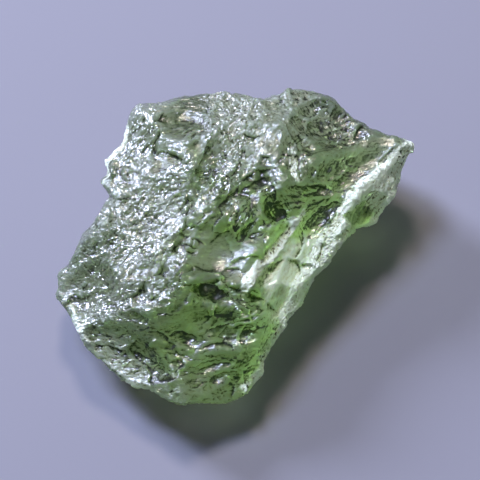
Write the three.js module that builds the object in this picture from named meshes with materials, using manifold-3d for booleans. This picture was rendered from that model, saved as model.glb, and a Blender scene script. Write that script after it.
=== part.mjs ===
// A raw moldavite: one natural piece of bottle-green impact glass, lying on its flattest side.
// Millimetres, +Z up. The origin is on the resting face, under the middle of the stone.
//
// The relief is described in a face frame. U runs across the broad face, V up it and W out of it.
// The face leans back from the level by FACE_LEAN, so W points up and towards -Y.
// A pillow is raised over the outline. Broad fracture faces are then cut from it by large balls, the
// scars of smaller chips by the caps of eggs, and the resting face by a block.

import * as THREE from "three";
import { mergeVertices } from "three/addons/utils/BufferGeometryUtils.js";
import Module from "manifold-3d";

const wasm = await Module();
wasm.setup();

// ---- Driving dimensions ---------------------------------------------------------------------------

const FACE_LEAN = THREE.MathUtils.degToRad(30); // of the broad face, back from the level
const RIM_HEIGHT = 4.3; // of the rim above the ground, at V = 0
const RIM_RISE = 0.18; // how much higher the rim lies for each millimetre of V
const CROWN = 6.4; // height of the uncut pillow over its rim, along W
const CROWN_SQUARENESS = 0.6; // 1 is an ellipsoid, less has steeper sides
const KEEL = 5.6; // depth of the uncut pillow under its rim, along W
const KEEL_RISE = 0.12; // how much deeper the keel is for each millimetre of V
const KEEL_SQUARENESS = 0.8;
const PILLOW_DETAIL = 14; // each face of an icosahedron is split into (this + 1) squared
const GREEN = 0x7f9a72;

// The outline of the broad face, [U, V], clockwise from its upper left corner.
const OUTLINE = [
  [-8.7, 9.9], [-7.6, 11.1], [-6.8, 11.5], [-5.7, 11.7], [-4.8, 12.1], [-3.2, 12.3], [-0.6, 12.3],
  [0.8, 12.0], [2.2, 11.7], [3.2, 12.0], [3.9, 12.4], [5.3, 12.8], [7.3, 12.2], [8.4, 11.5],
  [9.2, 10.6], [9.9, 9.8], [10.8, 9.4], [12.0, 8.9], [13.9, 8.3], [14.1, 7.7], [13.4, 5.6],
  [12.9, 4.0], [12.0, 2.8], [10.9, 1.6], [9.6, 0.4], [8.5, -0.4], [7.8, -0.7], [7.6, -1.4],
  [6.9, -1.9], [6.2, -2.7], [5.8, -3.6], [5.2, -4.7], [4.3, -5.5], [3.8, -6.4], [2.7, -8.3],
  [2.2, -9.4], [2.1, -10.1], [1.2, -11.4], [0.2, -12.0], [-0.8, -12.4], [-2.4, -12.3], [-4.6, -12.5],
  [-5.7, -12.0], [-6.7, -11.4], [-7.9, -11.4], [-9.3, -10.4], [-10.2, -9.4], [-11.0, -8.8],
  [-11.8, -7.8], [-12.2, -6.7], [-13.1, -5.4], [-14.0, -4.4], [-14.3, -3.6], [-13.9, -3.1],
  [-14.3, -2.2], [-13.2, -1.8], [-12.8, -0.6], [-12.2, 0.7], [-11.1, 1.9], [-10.8, 2.8],
  [-10.2, 3.7], [-9.6, 4.4], [-10.6, 4.9], [-10.3, 5.7], [-10.3, 6.5], [-9.9, 7.4], [-9.2, 8.4],
];

// Broad fracture faces over the rim. Each passes through `at` = [U, V, height over the rim], leans by
// `lean` = [rise for each mm of U, rise for each mm of V], and is as hollow as a ball of that radius.
const FRONT_FACES = [
  { name: "left", at: [-5.0, 3.0, 4.4], lean: [0.2, -0.06], radius: 60 },
  { name: "upper left", at: [-8.5, 8.0, 2.9], lean: [0.6, -0.26], radius: 26 },
  { name: "top", at: [0.0, 11.0, 2.6], lean: [0.0, -0.75], radius: 40 },
  { name: "upper middle", at: [0.5, 8.0, 4.2], lean: [-0.06, -0.06], radius: 50 },
  { name: "upper right", at: [7.0, 9.0, 2.9], lean: [-0.27, -0.14], radius: 34 },
  { name: "right shell", at: [9.0, 6.0, 2.7], lean: [-0.2, 0.1], radius: 22 },
  { name: "right hollow", at: [7.2, 2.6, 2.7], lean: [-0.2, 0.36], radius: 14 },
  { name: "right bevel", at: [12.1, 4.6, 1.0], lean: [-0.72, 0.56], radius: 60 },
  { name: "middle", at: [0.0, 0.0, 4.3], lean: [-0.1, 0.03], radius: 40 },
  { name: "slope right of the ridge", at: [5.0, -1.5, 3.1], lean: [-0.36, 0.27], radius: 30 },
  { name: "frosted edge", at: [4.6, -5.2, 1.2], lean: [-1.0, 0.68], radius: 50 },
  { name: "lower slope", at: [0.0, -4.8, 4.0], lean: [-0.03, 0.38], radius: 30 },
  { name: "lower left", at: [-9.0, -8.5, 1.9], lean: [0.32, 0.5], radius: 26 },
  { name: "lower right", at: [0.6, -10.0, 1.8], lean: [-0.36, 0.5], radius: 26 },
  { name: "left tip", at: [-12.0, -3.5, 2.1], lean: [0.5, 0.12], radius: 26 },
];

// The same under the rim: `at` gives the depth below it.
const BACK_FACES = [
  { name: "front undercut", at: [-4.0, -10.6, 1.3], lean: [0.05, 0.8], radius: 30 },
  { name: "left undercut", at: [-12.0, -2.0, 1.5], lean: [0.75, 0.15], radius: 24 },
  { name: "upper left undercut", at: [-8.4, 8.8, 2.2], lean: [0.8, -0.5], radius: 30 },
  { name: "right undercut", at: [6.6, -3.4, 1.9], lean: [-0.85, 0.55], radius: 26 },
  { name: "tip undercut", at: [11.6, 6.6, 1.6], lean: [-0.5, -0.1], radius: 24 },
  { name: "rear", at: [1.0, 11.4, 2.2], lean: [0.05, -0.85], radius: 30 },
  { name: "hollow under the right", at: [8.0, 4.0, 4.0], lean: [-0.42, 0.1], radius: 20 },
  { name: "hollow under the left", at: [-9.0, 3.0, 4.0], lean: [0.4, -0.12], radius: 24 },
];

// Scars of smaller chips on the faces over the rim. `at` is the middle of the scar, `size` is half its
// length, half its width and its depth, and `turn` is the angle of its length from U in degrees.
const SCARS = [
  { name: "hollow in the top left", at: [-4.5, 9.4], size: [2.8, 2.2, 0.7], turn: 25 },
  { name: "left edge of that hollow", at: [-7.9, 6.4], size: [3.4, 1.9, 0.5], turn: 66 },
  { name: "upper shell on the left", at: [-6.6, 2.6], size: [3.6, 2.7, 0.4], turn: 40 },
  { name: "middle shell on the left", at: [-8.9, -0.9], size: [3.4, 2.5, 0.4], turn: 34 },
  { name: "lower shell on the left", at: [-7.2, -4.2], size: [3.3, 1.8, 0.5], turn: 12 },
  { name: "left tip", at: [-11.6, -3.6], size: [2.4, 1.9, 0.45], turn: 30 },
  { name: "trough beside the long ledge", at: [-2.3, 5.2], size: [4.9, 1.5, 0.45], turn: 68 },
  { name: "lower end of that trough", at: [-4.9, -0.9], size: [3.4, 1.3, 0.4], turn: 56 },
  { name: "upper shell of the band", at: [0.4, 9.0], size: [2.9, 2.3, 0.4], turn: 76 },
  { name: "lower shell of the band", at: [0.9, 5.0], size: [2.7, 2.2, 0.4], turn: 40 },
  { name: "smooth shell in the middle", at: [-1.5, -0.6], size: [2.7, 2.3, 0.5], turn: 30 },
  { name: "eye pit", at: [-1.9, -3.8], size: [2.0, 0.8, 0.75], turn: -16 },
  { name: "dark pit", at: [3.2, 3.0], size: [1.9, 1.3, 0.7], turn: -52 },
  { name: "groove under the pit", at: [2.0, 1.0], size: [2.2, 1.1, 0.45], turn: 20 },
  { name: "trough left of the ridge", at: [3.0, -1.2], size: [3.2, 1.1, 0.45], turn: 47 },
  { name: "upper shell on the right", at: [4.6, 6.8], size: [2.6, 1.7, 0.45], turn: 65 },
  { name: "swirl shell", at: [7.4, 9.6], size: [3.1, 2.2, 0.5], turn: -24 },
  { name: "long shell at the right", at: [9.4, 5.9], size: [3.9, 1.7, 0.5], turn: 30 },
  { name: "green hollow", at: [6.9, 2.2], size: [3.0, 1.6, 0.65], turn: 46 },
  { name: "window in the bevel", at: [10.5, 2.3], size: [2.3, 1.1, 0.4], turn: 44 },
  { name: "upper shell in the slope", at: [5.4, -1.4], size: [2.4, 1.4, 0.4], turn: 48 },
  { name: "lower shell in the slope", at: [3.6, -4.0], size: [2.3, 1.2, 0.4], turn: 56 },
  { name: "first shell of the lower slope", at: [-0.7, -6.6], size: [3.0, 1.5, 0.5], turn: -14 },
  { name: "second shell of the lower slope", at: [-4.6, -7.8], size: [3.0, 1.7, 0.5], turn: 10 },
  { name: "third shell of the lower slope", at: [-1.4, -10.0], size: [3.1, 1.6, 0.45], turn: 4 },
  { name: "shell of the lower left", at: [-8.6, -8.2], size: [3.2, 1.8, 0.4], turn: -30 },
];
const CAP_SHARE = 0.4; // the share of an egg's half height that cuts

// Shells around the flank, from one side of the thin right tip to the other, in degrees from U. They
// take turns at two depths under the rim.
const FLANK_SHELLS = { from: 60, to: 342, count: 13, radius: 6, depth: 0.5, underRim: [2.4, 3.8] };

const FACET_SAG = 0.03; // how far the middle of a ball's facet may lie from the true ball, in mm
const EGG_EDGE = 0.95; // length of a triangle's edge on an egg, in mm
const BLOCK = 80; // side of the block under the ground

// ---- Face frame -----------------------------------------------------------------------------------

const acrossFace = new THREE.Vector3(1, 0, 0);
const upFace = new THREE.Vector3(0, Math.cos(FACE_LEAN), Math.sin(FACE_LEAN));
const outOfFace = new THREE.Vector3(0, -Math.sin(FACE_LEAN), Math.cos(FACE_LEAN));
const faceTurn = new THREE.Matrix4().makeBasis(acrossFace, upFace, outOfFace);

// How much W changes along the rim for each millimetre of V.
const RIM_SLOPE = (RIM_RISE - Math.sin(FACE_LEAN)) / Math.cos(FACE_LEAN);

// W of the rim at a given V, so that the rim lies at RIM_HEIGHT + RIM_RISE * V over the ground.
function rimW(v) {
  return RIM_HEIGHT / Math.cos(FACE_LEAN) + RIM_SLOPE * v;
}

// ---- Solids ---------------------------------------------------------------------------------------

function solidOf(geometry) {
  const bare = new THREE.BufferGeometry();
  bare.setAttribute("position", geometry.getAttribute("position").clone());
  if (geometry.index) bare.setIndex(geometry.index.clone());
  const merged = mergeVertices(bare, 1e-4);
  return new wasm.Manifold(
    new wasm.Mesh({
      numProp: 3,
      vertProperties: new Float32Array(merged.attributes.position.array),
      triVerts: new Uint32Array(merged.index.array),
    }),
  );
}

// A solid from a geometry that is drawn in the face frame.
function faceSolid(geometry) {
  geometry.applyMatrix4(faceTurn);
  return solidOf(geometry);
}

// Distance from the middle of the outline to its edge, in the direction of an angle.
function outlineRadius(angle) {
  const du = Math.cos(angle);
  const dv = Math.sin(angle);
  let radius = 0;
  OUTLINE.forEach(([au, av], i) => {
    const [bu, bv] = OUTLINE[(i + 1) % OUTLINE.length];
    const eu = bu - au;
    const ev = bv - av;
    const across = du * ev - dv * eu;
    if (Math.abs(across) < 1e-12) return;
    const along = (au * ev - av * eu) / across;
    const share = (au * dv - av * du) / across;
    if (along > 0 && share >= 0 && share <= 1) radius = Math.max(radius, along);
  });
  return radius;
}

// A ball whose equator is drawn out to the outline, and whose halves are raised and lowered along W.
function pillow() {
  const geometry = new THREE.IcosahedronGeometry(1, PILLOW_DETAIL);
  const position = geometry.getAttribute("position");
  const p = new THREE.Vector3();
  for (let i = 0; i < position.count; i += 1) {
    p.fromBufferAttribute(position, i);
    const radius = outlineRadius(Math.atan2(p.y, p.x));
    const u = p.x * radius;
    const v = p.y * radius;
    const crown = CROWN * Math.max(p.z, 0) ** CROWN_SQUARENESS;
    const keel = (KEEL + KEEL_RISE * v) * Math.max(-p.z, 0) ** KEEL_SQUARENESS;
    position.setXYZ(i, u, v, rimW(v) + crown - keel);
  }
  return faceSolid(geometry);
}

// The ball that cuts a fracture face. `side` is 1 over the rim and -1 under it.
function faceBall({ at: [u, v, height], lean: [riseU, riseV], radius }, side) {
  const outward = new THREE.Vector3(-riseU, -(riseV + side * RIM_SLOPE), 1);
  outward.normalize();
  outward.z *= side;
  const centre = new THREE.Vector3(u, v, rimW(v) + side * height);
  centre.addScaledVector(outward, radius);
  return { centre, radius };
}

const frontBalls = FRONT_FACES.map((face) => faceBall(face, 1));
const backBalls = BACK_FACES.map((face) => faceBall(face, -1));

// Balls beside the flank, each sunk into it by the depth of a shell.
function flankBalls() {
  const { from, to, count, radius, depth, underRim } = FLANK_SHELLS;
  return Array.from({ length: count }, (_, i) => {
    const angle = THREE.MathUtils.degToRad(from + ((to - from) * i) / (count - 1));
    const edge = outlineRadius(angle);
    const reach = edge + radius - depth;
    const w = rimW(edge * Math.sin(angle)) - underRim[i % underRim.length];
    return { centre: new THREE.Vector3(reach * Math.cos(angle), reach * Math.sin(angle), w), radius };
  });
}

function ballSolid({ centre, radius }) {
  const edge = Math.sqrt(8 * radius * FACET_SAG);
  const ball = new THREE.IcosahedronGeometry(radius, Math.ceil(radius / edge));
  ball.translate(centre.x, centre.y, centre.z);
  return faceSolid(ball);
}

// The point of the front faces at [U, V], and the direction out of the stone there.
function frontPoint(u, v) {
  let lowest = { w: Infinity };
  frontBalls.forEach(({ centre, radius }) => {
    const w = centre.z - Math.sqrt(radius ** 2 - (u - centre.x) ** 2 - (v - centre.y) ** 2);
    if (w < lowest.w) lowest = { w, centre };
  });
  const point = new THREE.Vector3(u, v, lowest.w);
  const outward = lowest.centre.clone().sub(point).normalize();
  return { point, outward };
}

// The end of an egg, sunk into the front to the depth of the scar.
function scarSolid({ at: [u, v], size: [halfLength, halfWidth, depth], turn }) {
  const footShare = Math.sqrt(1 - (1 - CAP_SHARE) ** 2);
  const along = halfLength / footShare;
  const across = halfWidth / footShare;
  const deep = depth / CAP_SHARE;
  const egg = new THREE.IcosahedronGeometry(1, Math.ceil(along / EGG_EDGE));
  egg.scale(along, across, deep);
  const { point, outward } = frontPoint(u, v);
  const turned = THREE.MathUtils.degToRad(turn);
  const length = new THREE.Vector3(Math.cos(turned), Math.sin(turned), 0);
  length.addScaledVector(outward, -length.dot(outward)).normalize();
  const width = outward.clone().cross(length);
  egg.applyMatrix4(new THREE.Matrix4().makeBasis(length, width, outward));
  const centre = point.addScaledVector(outward, deep - depth);
  egg.translate(centre.x, centre.y, centre.z);
  return faceSolid(egg);
}

// Everything below the resting face.
function ground() {
  const block = new THREE.BoxGeometry(BLOCK, BLOCK, BLOCK);
  block.translate(0, 0, -BLOCK / 2);
  return solidOf(block);
}

function stoneSolid() {
  const cutters = [
    ...frontBalls.map(ballSolid),
    ...backBalls.map(ballSolid),
    ...flankBalls().map(ballSolid),
    ...SCARS.map(scarSolid),
    ground(),
  ];
  return cutters.reduce((left, cutter) => left.subtract(cutter), pillow());
}

// ---- Mesh -----------------------------------------------------------------------------------------

function geometryOf(solid) {
  const { numProp, vertProperties, triVerts } = solid.getMesh();
  const geometry = new THREE.BufferGeometry();
  const points = new Float32Array((vertProperties.length / numProp) * 3);
  for (let i = 0; i < points.length / 3; i += 1) {
    points.set(vertProperties.subarray(i * numProp, i * numProp + 3), i * 3);
  }
  geometry.setAttribute("position", new THREE.BufferAttribute(points, 3));
  geometry.setIndex(new THREE.BufferAttribute(new Uint32Array(triVerts), 1));
  geometry.computeVertexNormals();
  return geometry;
}

const glass = new THREE.MeshStandardMaterial({ color: GREEN, roughness: 0.25, metalness: 0 });

const moldavite = new THREE.Mesh(geometryOf(stoneSolid()), glass);
moldavite.name = "moldavite";

const stone = new THREE.Group();
stone.add(moldavite);

export default stone;
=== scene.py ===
# %% [markdown]
# # A raw moldavite
#
# Moldavite is a natural glass. A meteorite melted sand and threw it into the air as drops, and the drops
# froze. They lay in wet ground for millions of years, where acids etched their skin into furrows and bowls.
# Where a piece has chipped since, the break is smooth and shell-shaped, as on any thick glass.
#
# Three things make it look like what it is, and each gets a step below: the broken and etched relief,
# clear green glass that soaks up light with its thickness, and a light that rakes over the relief.

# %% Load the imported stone
import math

import bmesh
import bpy
import numpy as np
from mathutils import Matrix, Vector, noise


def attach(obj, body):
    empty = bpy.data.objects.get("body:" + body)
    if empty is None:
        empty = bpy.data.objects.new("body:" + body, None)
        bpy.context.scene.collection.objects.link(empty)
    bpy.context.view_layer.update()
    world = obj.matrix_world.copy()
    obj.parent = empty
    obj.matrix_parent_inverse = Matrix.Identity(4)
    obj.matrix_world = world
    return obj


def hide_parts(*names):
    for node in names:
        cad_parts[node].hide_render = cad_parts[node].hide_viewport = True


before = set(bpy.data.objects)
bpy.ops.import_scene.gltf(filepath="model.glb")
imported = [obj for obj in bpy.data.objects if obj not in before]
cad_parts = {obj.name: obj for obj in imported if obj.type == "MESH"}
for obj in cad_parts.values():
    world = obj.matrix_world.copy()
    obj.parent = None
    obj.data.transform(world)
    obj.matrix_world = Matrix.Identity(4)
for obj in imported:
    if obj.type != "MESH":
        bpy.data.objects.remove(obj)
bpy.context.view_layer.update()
scene = bpy.context.scene

# %% [markdown]
# ## Where things are on the stone
#
# The broad face leans back from the level, so places on it are easiest to give in a frame of its own:
# U across the face, V up it and W out of it, in millimetres. The camera looks straight along W.

# %% The face frame
MM = 0.001
FACE_LEAN = math.radians(30)

ACROSS = Vector((1, 0, 0))
UP_FACE = Vector((0, math.cos(FACE_LEAN), math.sin(FACE_LEAN)))
OUT_OF_FACE = Vector((0, -math.sin(FACE_LEAN), math.cos(FACE_LEAN)))
FACE_AXES = np.array([ACROSS, UP_FACE, OUT_OF_FACE])


def face_point(u, v, w):
    """A point of the face frame, in millimetres, as a place in the scene, in metres."""
    return (ACROSS * u + UP_FACE * v + OUT_OF_FACE * w) * MM


# %% [markdown]
# ## The camera
#
# A small stone is best seen from some way off, so that its near and far parts keep their true sizes. A long
# lens fills the frame with it from there. The camera looks straight down on the broad face.

# %% The camera, straight above the broad face
LENS = 200
SENSOR = 36
VIEW_WIDTH = 38.4
VIEW_MIDDLE = (0.4, 0.4, 5.6)
CLIP = (0.01, 10)

camera_data = bpy.data.cameras.new("camera")
camera_data.lens = LENS
camera_data.sensor_width = SENSOR
camera_data.clip_start, camera_data.clip_end = CLIP
camera = bpy.data.objects.new("camera", camera_data)
scene.collection.objects.link(camera)
middle_u, middle_v, middle_w = VIEW_MIDDLE
distance = VIEW_WIDTH * LENS / SENSOR
camera.location = face_point(middle_u, middle_v, middle_w + distance)
camera.rotation_mode = "QUATERNION"
camera.rotation_quaternion = OUT_OF_FACE.to_track_quat("Z", "Y")
scene.camera = camera
print(f"camera {distance:.0f} mm from the face")

# %% [markdown]
# ## A blank to carve
#
# The drawing of the stone has few, large triangles. Carving needs many small ones of one size, so a
# copy is melted into one skin of small squares with a voxel remesh, and smoothed a little to lose the
# drawing's facets. It is worked in millimetres and made metres again at the end.

# %% A helper that turns modifiers into a plain mesh
def bake_modifiers(thing):
    """Gives an object the mesh that its modifiers make, and takes the modifiers off."""
    graph = bpy.context.evaluated_depsgraph_get()
    baked = bpy.data.meshes.new_from_object(thing.evaluated_get(graph))
    thing.modifiers.clear()
    old = thing.data
    thing.data = baked
    bpy.data.meshes.remove(old)


# %% Copy, merge and remesh
MERGE_DISTANCE = 0.001
VOXEL = 0.1
MELT_FACTOR = 0.5
MELT_ROUNDS = 7

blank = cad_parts["moldavite"].data.copy()
blank.materials.clear()
blank.transform(Matrix.Scale(1 / MM, 4))
bare = bmesh.new()
bare.from_mesh(blank)
bmesh.ops.remove_doubles(bare, verts=bare.verts, dist=MERGE_DISTANCE)
bare.to_mesh(blank)
bare.free()

stone = bpy.data.objects.new("moldavite_glass", blank)
scene.collection.objects.link(stone)
remesh = stone.modifiers.new("skin", "REMESH")
remesh.mode = "VOXEL"
remesh.voxel_size = VOXEL
melt = stone.modifiers.new("melt", "SMOOTH")
melt.factor = MELT_FACTOR
melt.iterations = MELT_ROUNDS
bake_modifiers(stone)
print("blank:", len(stone.data.vertices), "points")


# %% [markdown]
# ## The skin as arrays
#
# The skin has far too many points to move one at a time. NumPy moves them all at once, so they are read into
# an array, changed and written back. Every point also gets its place on the face, and `facing`, which is 1
# where the skin looks straight out of the face and below 0 on the back.

# %% Read and write the skin as arrays
def points_of(mesh):
    """The places of a mesh's points, a row for each."""
    points = np.empty(len(mesh.vertices) * 3)
    mesh.vertices.foreach_get("co", points)
    return points.reshape(-1, 3)


def normals_of(mesh):
    """The outward directions at a mesh's points, a row for each."""
    normals = np.empty(len(mesh.vertices) * 3, np.float32)
    mesh.vertex_normals.foreach_get("vector", normals)
    return normals.reshape(-1, 3).astype(float)


def set_points(mesh, points):
    """Moves a mesh's points to new places."""
    mesh.vertices.foreach_set("co", points.ravel())
    mesh.update()


def set_attribute(mesh, name, values):
    """Keeps a number for each point, which node trees can read by its name."""
    layer = mesh.attributes.new(name, "FLOAT", "POINT")
    layer.data.foreach_set("value", values.astype(np.float32))


def smooth_step(x):
    """0 up to 0, 1 from 1 on, and a soft climb between."""
    x = np.clip(x, 0, 1)
    return x * x * (3 - 2 * x)


points = points_of(stone.data)
normals = normals_of(stone.data)
u, v, w = (points @ FACE_AXES.T).T
facing = normals @ FACE_AXES[2]
print("points that face the camera:", int((facing > 0).sum()))


# %% [markdown]
# ## Where the skin is etched, and which way
#
# Etching follows the flow lines of the frozen melt, so its furrows run in bands whose direction changes
# slowly over the stone. Fresh breaks have little of it: they carry fine streaks and slow ripples instead.
# Spots are listed, each with a direction and three strengths, and every point of the skin takes a
# blend of the spots near it.

# %% Etched spots
# (u, v, direction in degrees, furrows, streaks, ripples, reach)
SPOTS = [
    # the broad etched facet on the left
    (-8.0, 2.0, 35, 1.0, 0.1, 0.1, 2.2),
    (-10.6, 0.6, 38, 1.0, 0.1, 0.1, 1.8),
    (-5.0, 4.8, 42, 1.1, 0.0, 0.1, 1.6),
    (-5.8, 2.2, 40, 0.8, 0.1, 0.1, 1.6),
    (-8.4, -0.6, 32, 1.2, 0.0, 0.1, 1.4),
    (-10.8, -1.8, 28, 0.7, 0.1, 0.1, 1.6),
    (-7.8, -1.9, 25, 0.1, 0.1, 0.2, 1.0),
    (-12.4, -2.8, 20, 0.5, 0.2, 0.1, 1.6),
    (-10.4, -3.8, 15, 0.3, 0.2, 0.2, 1.4),
    (-8.3, 5.2, 30, 0.3, 0.1, 0.2, 1.2),
    (-7.6, 10.6, 55, 0.8, 0.2, 0.1, 1.6),
    (-9.2, 8.0, 62, 0.5, 0.3, 0.1, 1.6),
    (-7.6, 8.4, 65, 0.9, 0.1, 0.1, 1.2),
    (-5.8, 6.8, 15, 0.25, 0.1, 0.3, 1.2),
    (-4.4, 10.3, 15, 0.08, 0.1, 0.3, 1.4),
    (-3.3, 9.0, 26, 0.1, 1.0, 0.0, 0.8),
    (-3.1, 7.8, 30, 0.3, 0.2, 0.1, 0.8),
    (-3.4, 11.5, 10, 0.7, 0.2, 0.1, 0.9),
    # the speckled band down the middle
    (-0.3, 10.8, 80, 1.2, 0.0, 0.0, 1.6),
    (-0.7, 8.6, 80, 1.2, 0.0, 0.0, 1.4),
    (-0.8, 6.4, 60, 1.3, 0.0, 0.0, 1.3),
    (1.0, 10.4, 85, 1.1, 0.0, 0.0, 1.2),
    (-2.5, 4.4, 40, 1.1, 0.1, 0.0, 1.2),
    (0.6, 7.6, 60, 0.9, 0.1, 0.0, 1.0),
    (-2.1, 7.2, 60, 0.2, 0.1, 0.1, 0.5),
    (-4.9, -0.9, 40, 1.1, 0.0, 0.0, 0.7),
    # the top right, broken in shells
    (2.8, 9.0, 60, 0.3, 0.3, 0.3, 1.0),
    (3.2, 11.0, 100, 0.5, 0.3, 0.1, 1.2),
    (5.4, 10.8, 110, 0.3, 0.7, 0.3, 1.6),
    (7.2, 9.2, 100, 0.2, 0.8, 0.5, 1.4),
    (8.8, 10.8, 60, 0.2, 0.7, 0.5, 1.4),
    (10.4, 8.8, 40, 0.4, 0.5, 0.2, 1.0),
    (7.0, 7.4, 0, 0.1, 0.3, 0.2, 1.0),
    (7.6, 6.0, 40, 0.15, 1.0, 0.1, 1.2),
    (10.8, 7.3, 35, 0.05, 0.3, 0.1, 1.4),
    (12.6, 8.2, 35, 0.05, 0.1, 0.1, 0.9),
    (4.6, 5.8, 80, 0.7, 0.3, 0.0, 0.8),
    (1.6, 6.6, 30, 0.4, 0.4, 0.2, 0.9),
    (8.4, 4.5, 38, 0.05, 0.6, 0.1, 1.1),
    (7.2, 2.0, 40, 0.4, 1.0, 0.2, 1.1),
    (12.8, 6.9, 52, 0.2, 1.2, 0.0, 1.0),
    (11.6, 5.2, 50, 0.5, 0.8, 0.1, 0.9),
    (9.4, 3.4, 45, 0.5, 0.6, 0.1, 0.6),
    (9.8, 2.4, 45, 0.05, 0.1, 0.1, 0.7),
    (11.8, 3.2, 48, 0.7, 0.5, 0.0, 0.7),
    (8.2, 1.4, 45, 0.9, 0.3, 0.0, 0.8),
    # the middle
    (5.8, 4.1, 0, 0.2, 1.0, 0.1, 0.9),
    (2.6, 3.4, 110, 0.1, 0.8, 0.3, 1.0),
    (1.8, 4.9, 30, 0.1, 0.3, 0.1, 0.8),
    (0.7, 1.4, 62, 0.3, 1.0, 0.1, 0.8),
    (0.0, 3.0, 60, 0.2, 0.6, 0.1, 0.9),
    (1.8, 0.6, 20, 0.8, 0.5, 0.0, 0.6),
    (-1.8, -0.5, 20, 0.08, 0.05, 0.1, 1.5),
    (-3.4, -0.2, -35, 0.2, 0.6, 0.0, 0.6),
    (-2.8, 1.2, 30, 0.2, 0.2, 0.2, 0.9),
    (0.2, -1.8, 30, 0.3, 0.3, 0.1, 0.7),
    (0.4, -0.5, 30, 0.05, 0.1, 0.1, 0.9),
    (4.2, -1.8, 60, 0.15, 0.1, 0.1, 1.5),
    (3.2, -4.0, 60, 0.3, 0.2, 0.1, 0.9),
    (6.8, -1.8, 42, 1.2, 0.2, 0.0, 0.9),
    (5.0, -4.6, 50, 1.1, 0.2, 0.0, 0.8),
    (3.2, -6.8, 52, 1.1, 0.3, 0.0, 0.7),
    (0.2, -3.9, 10, 1.0, 0.2, 0.0, 0.7),
    (1.2, -5.6, 15, 0.2, 1.0, 0.0, 0.8),
    # below: overlapping shells
    (-6.0, -3.4, 30, 1.0, 0.1, 0.0, 1.0),
    (-8.6, -5.2, 20, 0.7, 0.2, 0.1, 1.3),
    (-11.2, -6.2, 0, 0.8, 0.2, 0.1, 1.0),
    (-6.4, -6.6, 10, 0.5, 0.3, 0.4, 1.1),
    (-3.4, -5.5, 20, 0.15, 0.2, 0.3, 1.1),
    (-1.0, -6.8, 20, 0.1, 0.4, 0.8, 1.3),
    (-4.4, -8.6, 5, 0.2, 0.4, 0.8, 1.2),
    (-1.6, -9.2, 16, 0.1, 0.7, 1.0, 1.4),
    (1.0, -8.8, 40, 0.4, 0.4, 0.6, 1.0),
    (-3.4, -11.0, 10, 0.5, 0.4, 0.4, 1.0),
    (-9.6, -9.0, -24, 0.1, 1.4, 0.2, 1.6),
    (-7.2, -9.9, -20, 0.15, 1.0, 0.2, 1.2),
]
# the same four numbers for the whole back
BACK_FLOW = 30
BACK_ETCH = (0.8, 0.2, 0.2)
print(len(SPOTS), "etched spots")

# %% Blend them over the skin
# each spot reaches everywhere a little, so that no point is left without one
FAR_WEIGHT = 1e-6
# the front fades in from this `facing` on, over so much more of it
FRONT_FROM = -0.1
FRONT_FADE = 0.4
on_front = smooth_step((facing - FRONT_FROM) / FRONT_FADE)


def flow_vector(degrees):
    """A direction as the cosine and sine of twice its angle, so that opposite ways count as one way."""
    angle = 2 * math.radians(degrees)
    return np.array([[math.cos(angle)], [math.sin(angle)]])


def blend_spots():
    """The furrow direction and the strength of furrows, streaks and ripples at each point of the skin."""
    ways = np.zeros((2, len(u)))
    strengths = np.zeros((3, len(u)))
    total = np.zeros(len(u))
    for spot_u, spot_v, degrees, *spot_strengths, reach in SPOTS:
        weight = np.exp(-((u - spot_u) ** 2 + (v - spot_v) ** 2) / reach**2) + FAR_WEIGHT
        ways += weight * flow_vector(degrees)
        strengths += weight * np.array([spot_strengths]).T
        total += weight
    strengths = strengths / total * on_front + np.array([BACK_ETCH]).T * (1 - on_front)
    ways = ways / total * on_front + flow_vector(BACK_FLOW) * (1 - on_front)
    return np.arctan2(ways[1], ways[0]) / 2, *strengths


flow, furrowed, streaked, rippled = blend_spots()
print("furrows from", round(furrowed.min(), 2), "to", round(furrowed.max(), 2))

# %% [markdown]
# ## Break and carve the skin
#
# Every cut is kept as a height over the blank's skin, measured along its smoothed outward direction. A chip
# of glass is a shallow shell. Each shell lowers the heights that stand above it and leaves the rest, so
# shells cut into each other with sharp edges. Some end in a step, where the crack turned out of the glass.

# %% The outward direction at each point
OUTWARD_ROUNDS = 14
# lines and listed shells fade in from this `facing` on, over so much more of it
SEEN_FROM = 0.05
SEEN_FADE = 0.3
# how far the rim reaches to each side of the stone's outline, as a change of `facing`
RIM_REACH = 0.35


def smoothed(values, rounds):
    """Averages each point's value with its neighbours', again and again."""
    edges = np.empty(len(stone.data.edges) * 2, np.int32)
    stone.data.edges.foreach_get("vertices", edges)
    one, other = edges.reshape(-1, 2).T
    size = len(values)
    neighbours = np.bincount(one, minlength=size) + np.bincount(other, minlength=size)
    for _ in range(rounds):
        total = np.empty_like(values)
        for column in range(values.shape[1]):
            ends = values[:, column]
            total[:, column] = np.bincount(one, ends[other], size) + np.bincount(other, ends[one], size)
        values = (values + total) / (neighbours + 1)[:, None]
    return values


outward = smoothed(normals, OUTWARD_ROUNDS)
outward /= np.linalg.norm(outward, axis=1)[:, None]
height = np.zeros(len(points))
seen = smooth_step((facing - SEEN_FROM) / SEEN_FADE)
rim = np.exp(-((facing / RIM_REACH) ** 2))
print("seen from the front:", round(float((seen > 0).mean() * 100)), "% of the points")

# %% [markdown]
# A crack never follows a drawn oval. So the shells and lines are all laid out on a place map that is pulled
# about by noise, coarse and fine, which makes every outline ragged. Without a seed the noise would be another
# one at every run.

# %% Ragged places
# (size of the noise in mm, how far it pulls in mm)
RAGGED = [(1.6, 0.28), (0.6, 0.12), (0.25, 0.05)]
RAGGED_SEED = 11
noise.seed_set(RAGGED_SEED)


def pulled(places):
    """The places, each moved by three sizes of smooth noise."""
    moved = places.copy()
    for size, pull in RAGGED:
        moved += pull * np.array([noise.noise_vector(p) for p in places / size])
    return moved


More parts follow.
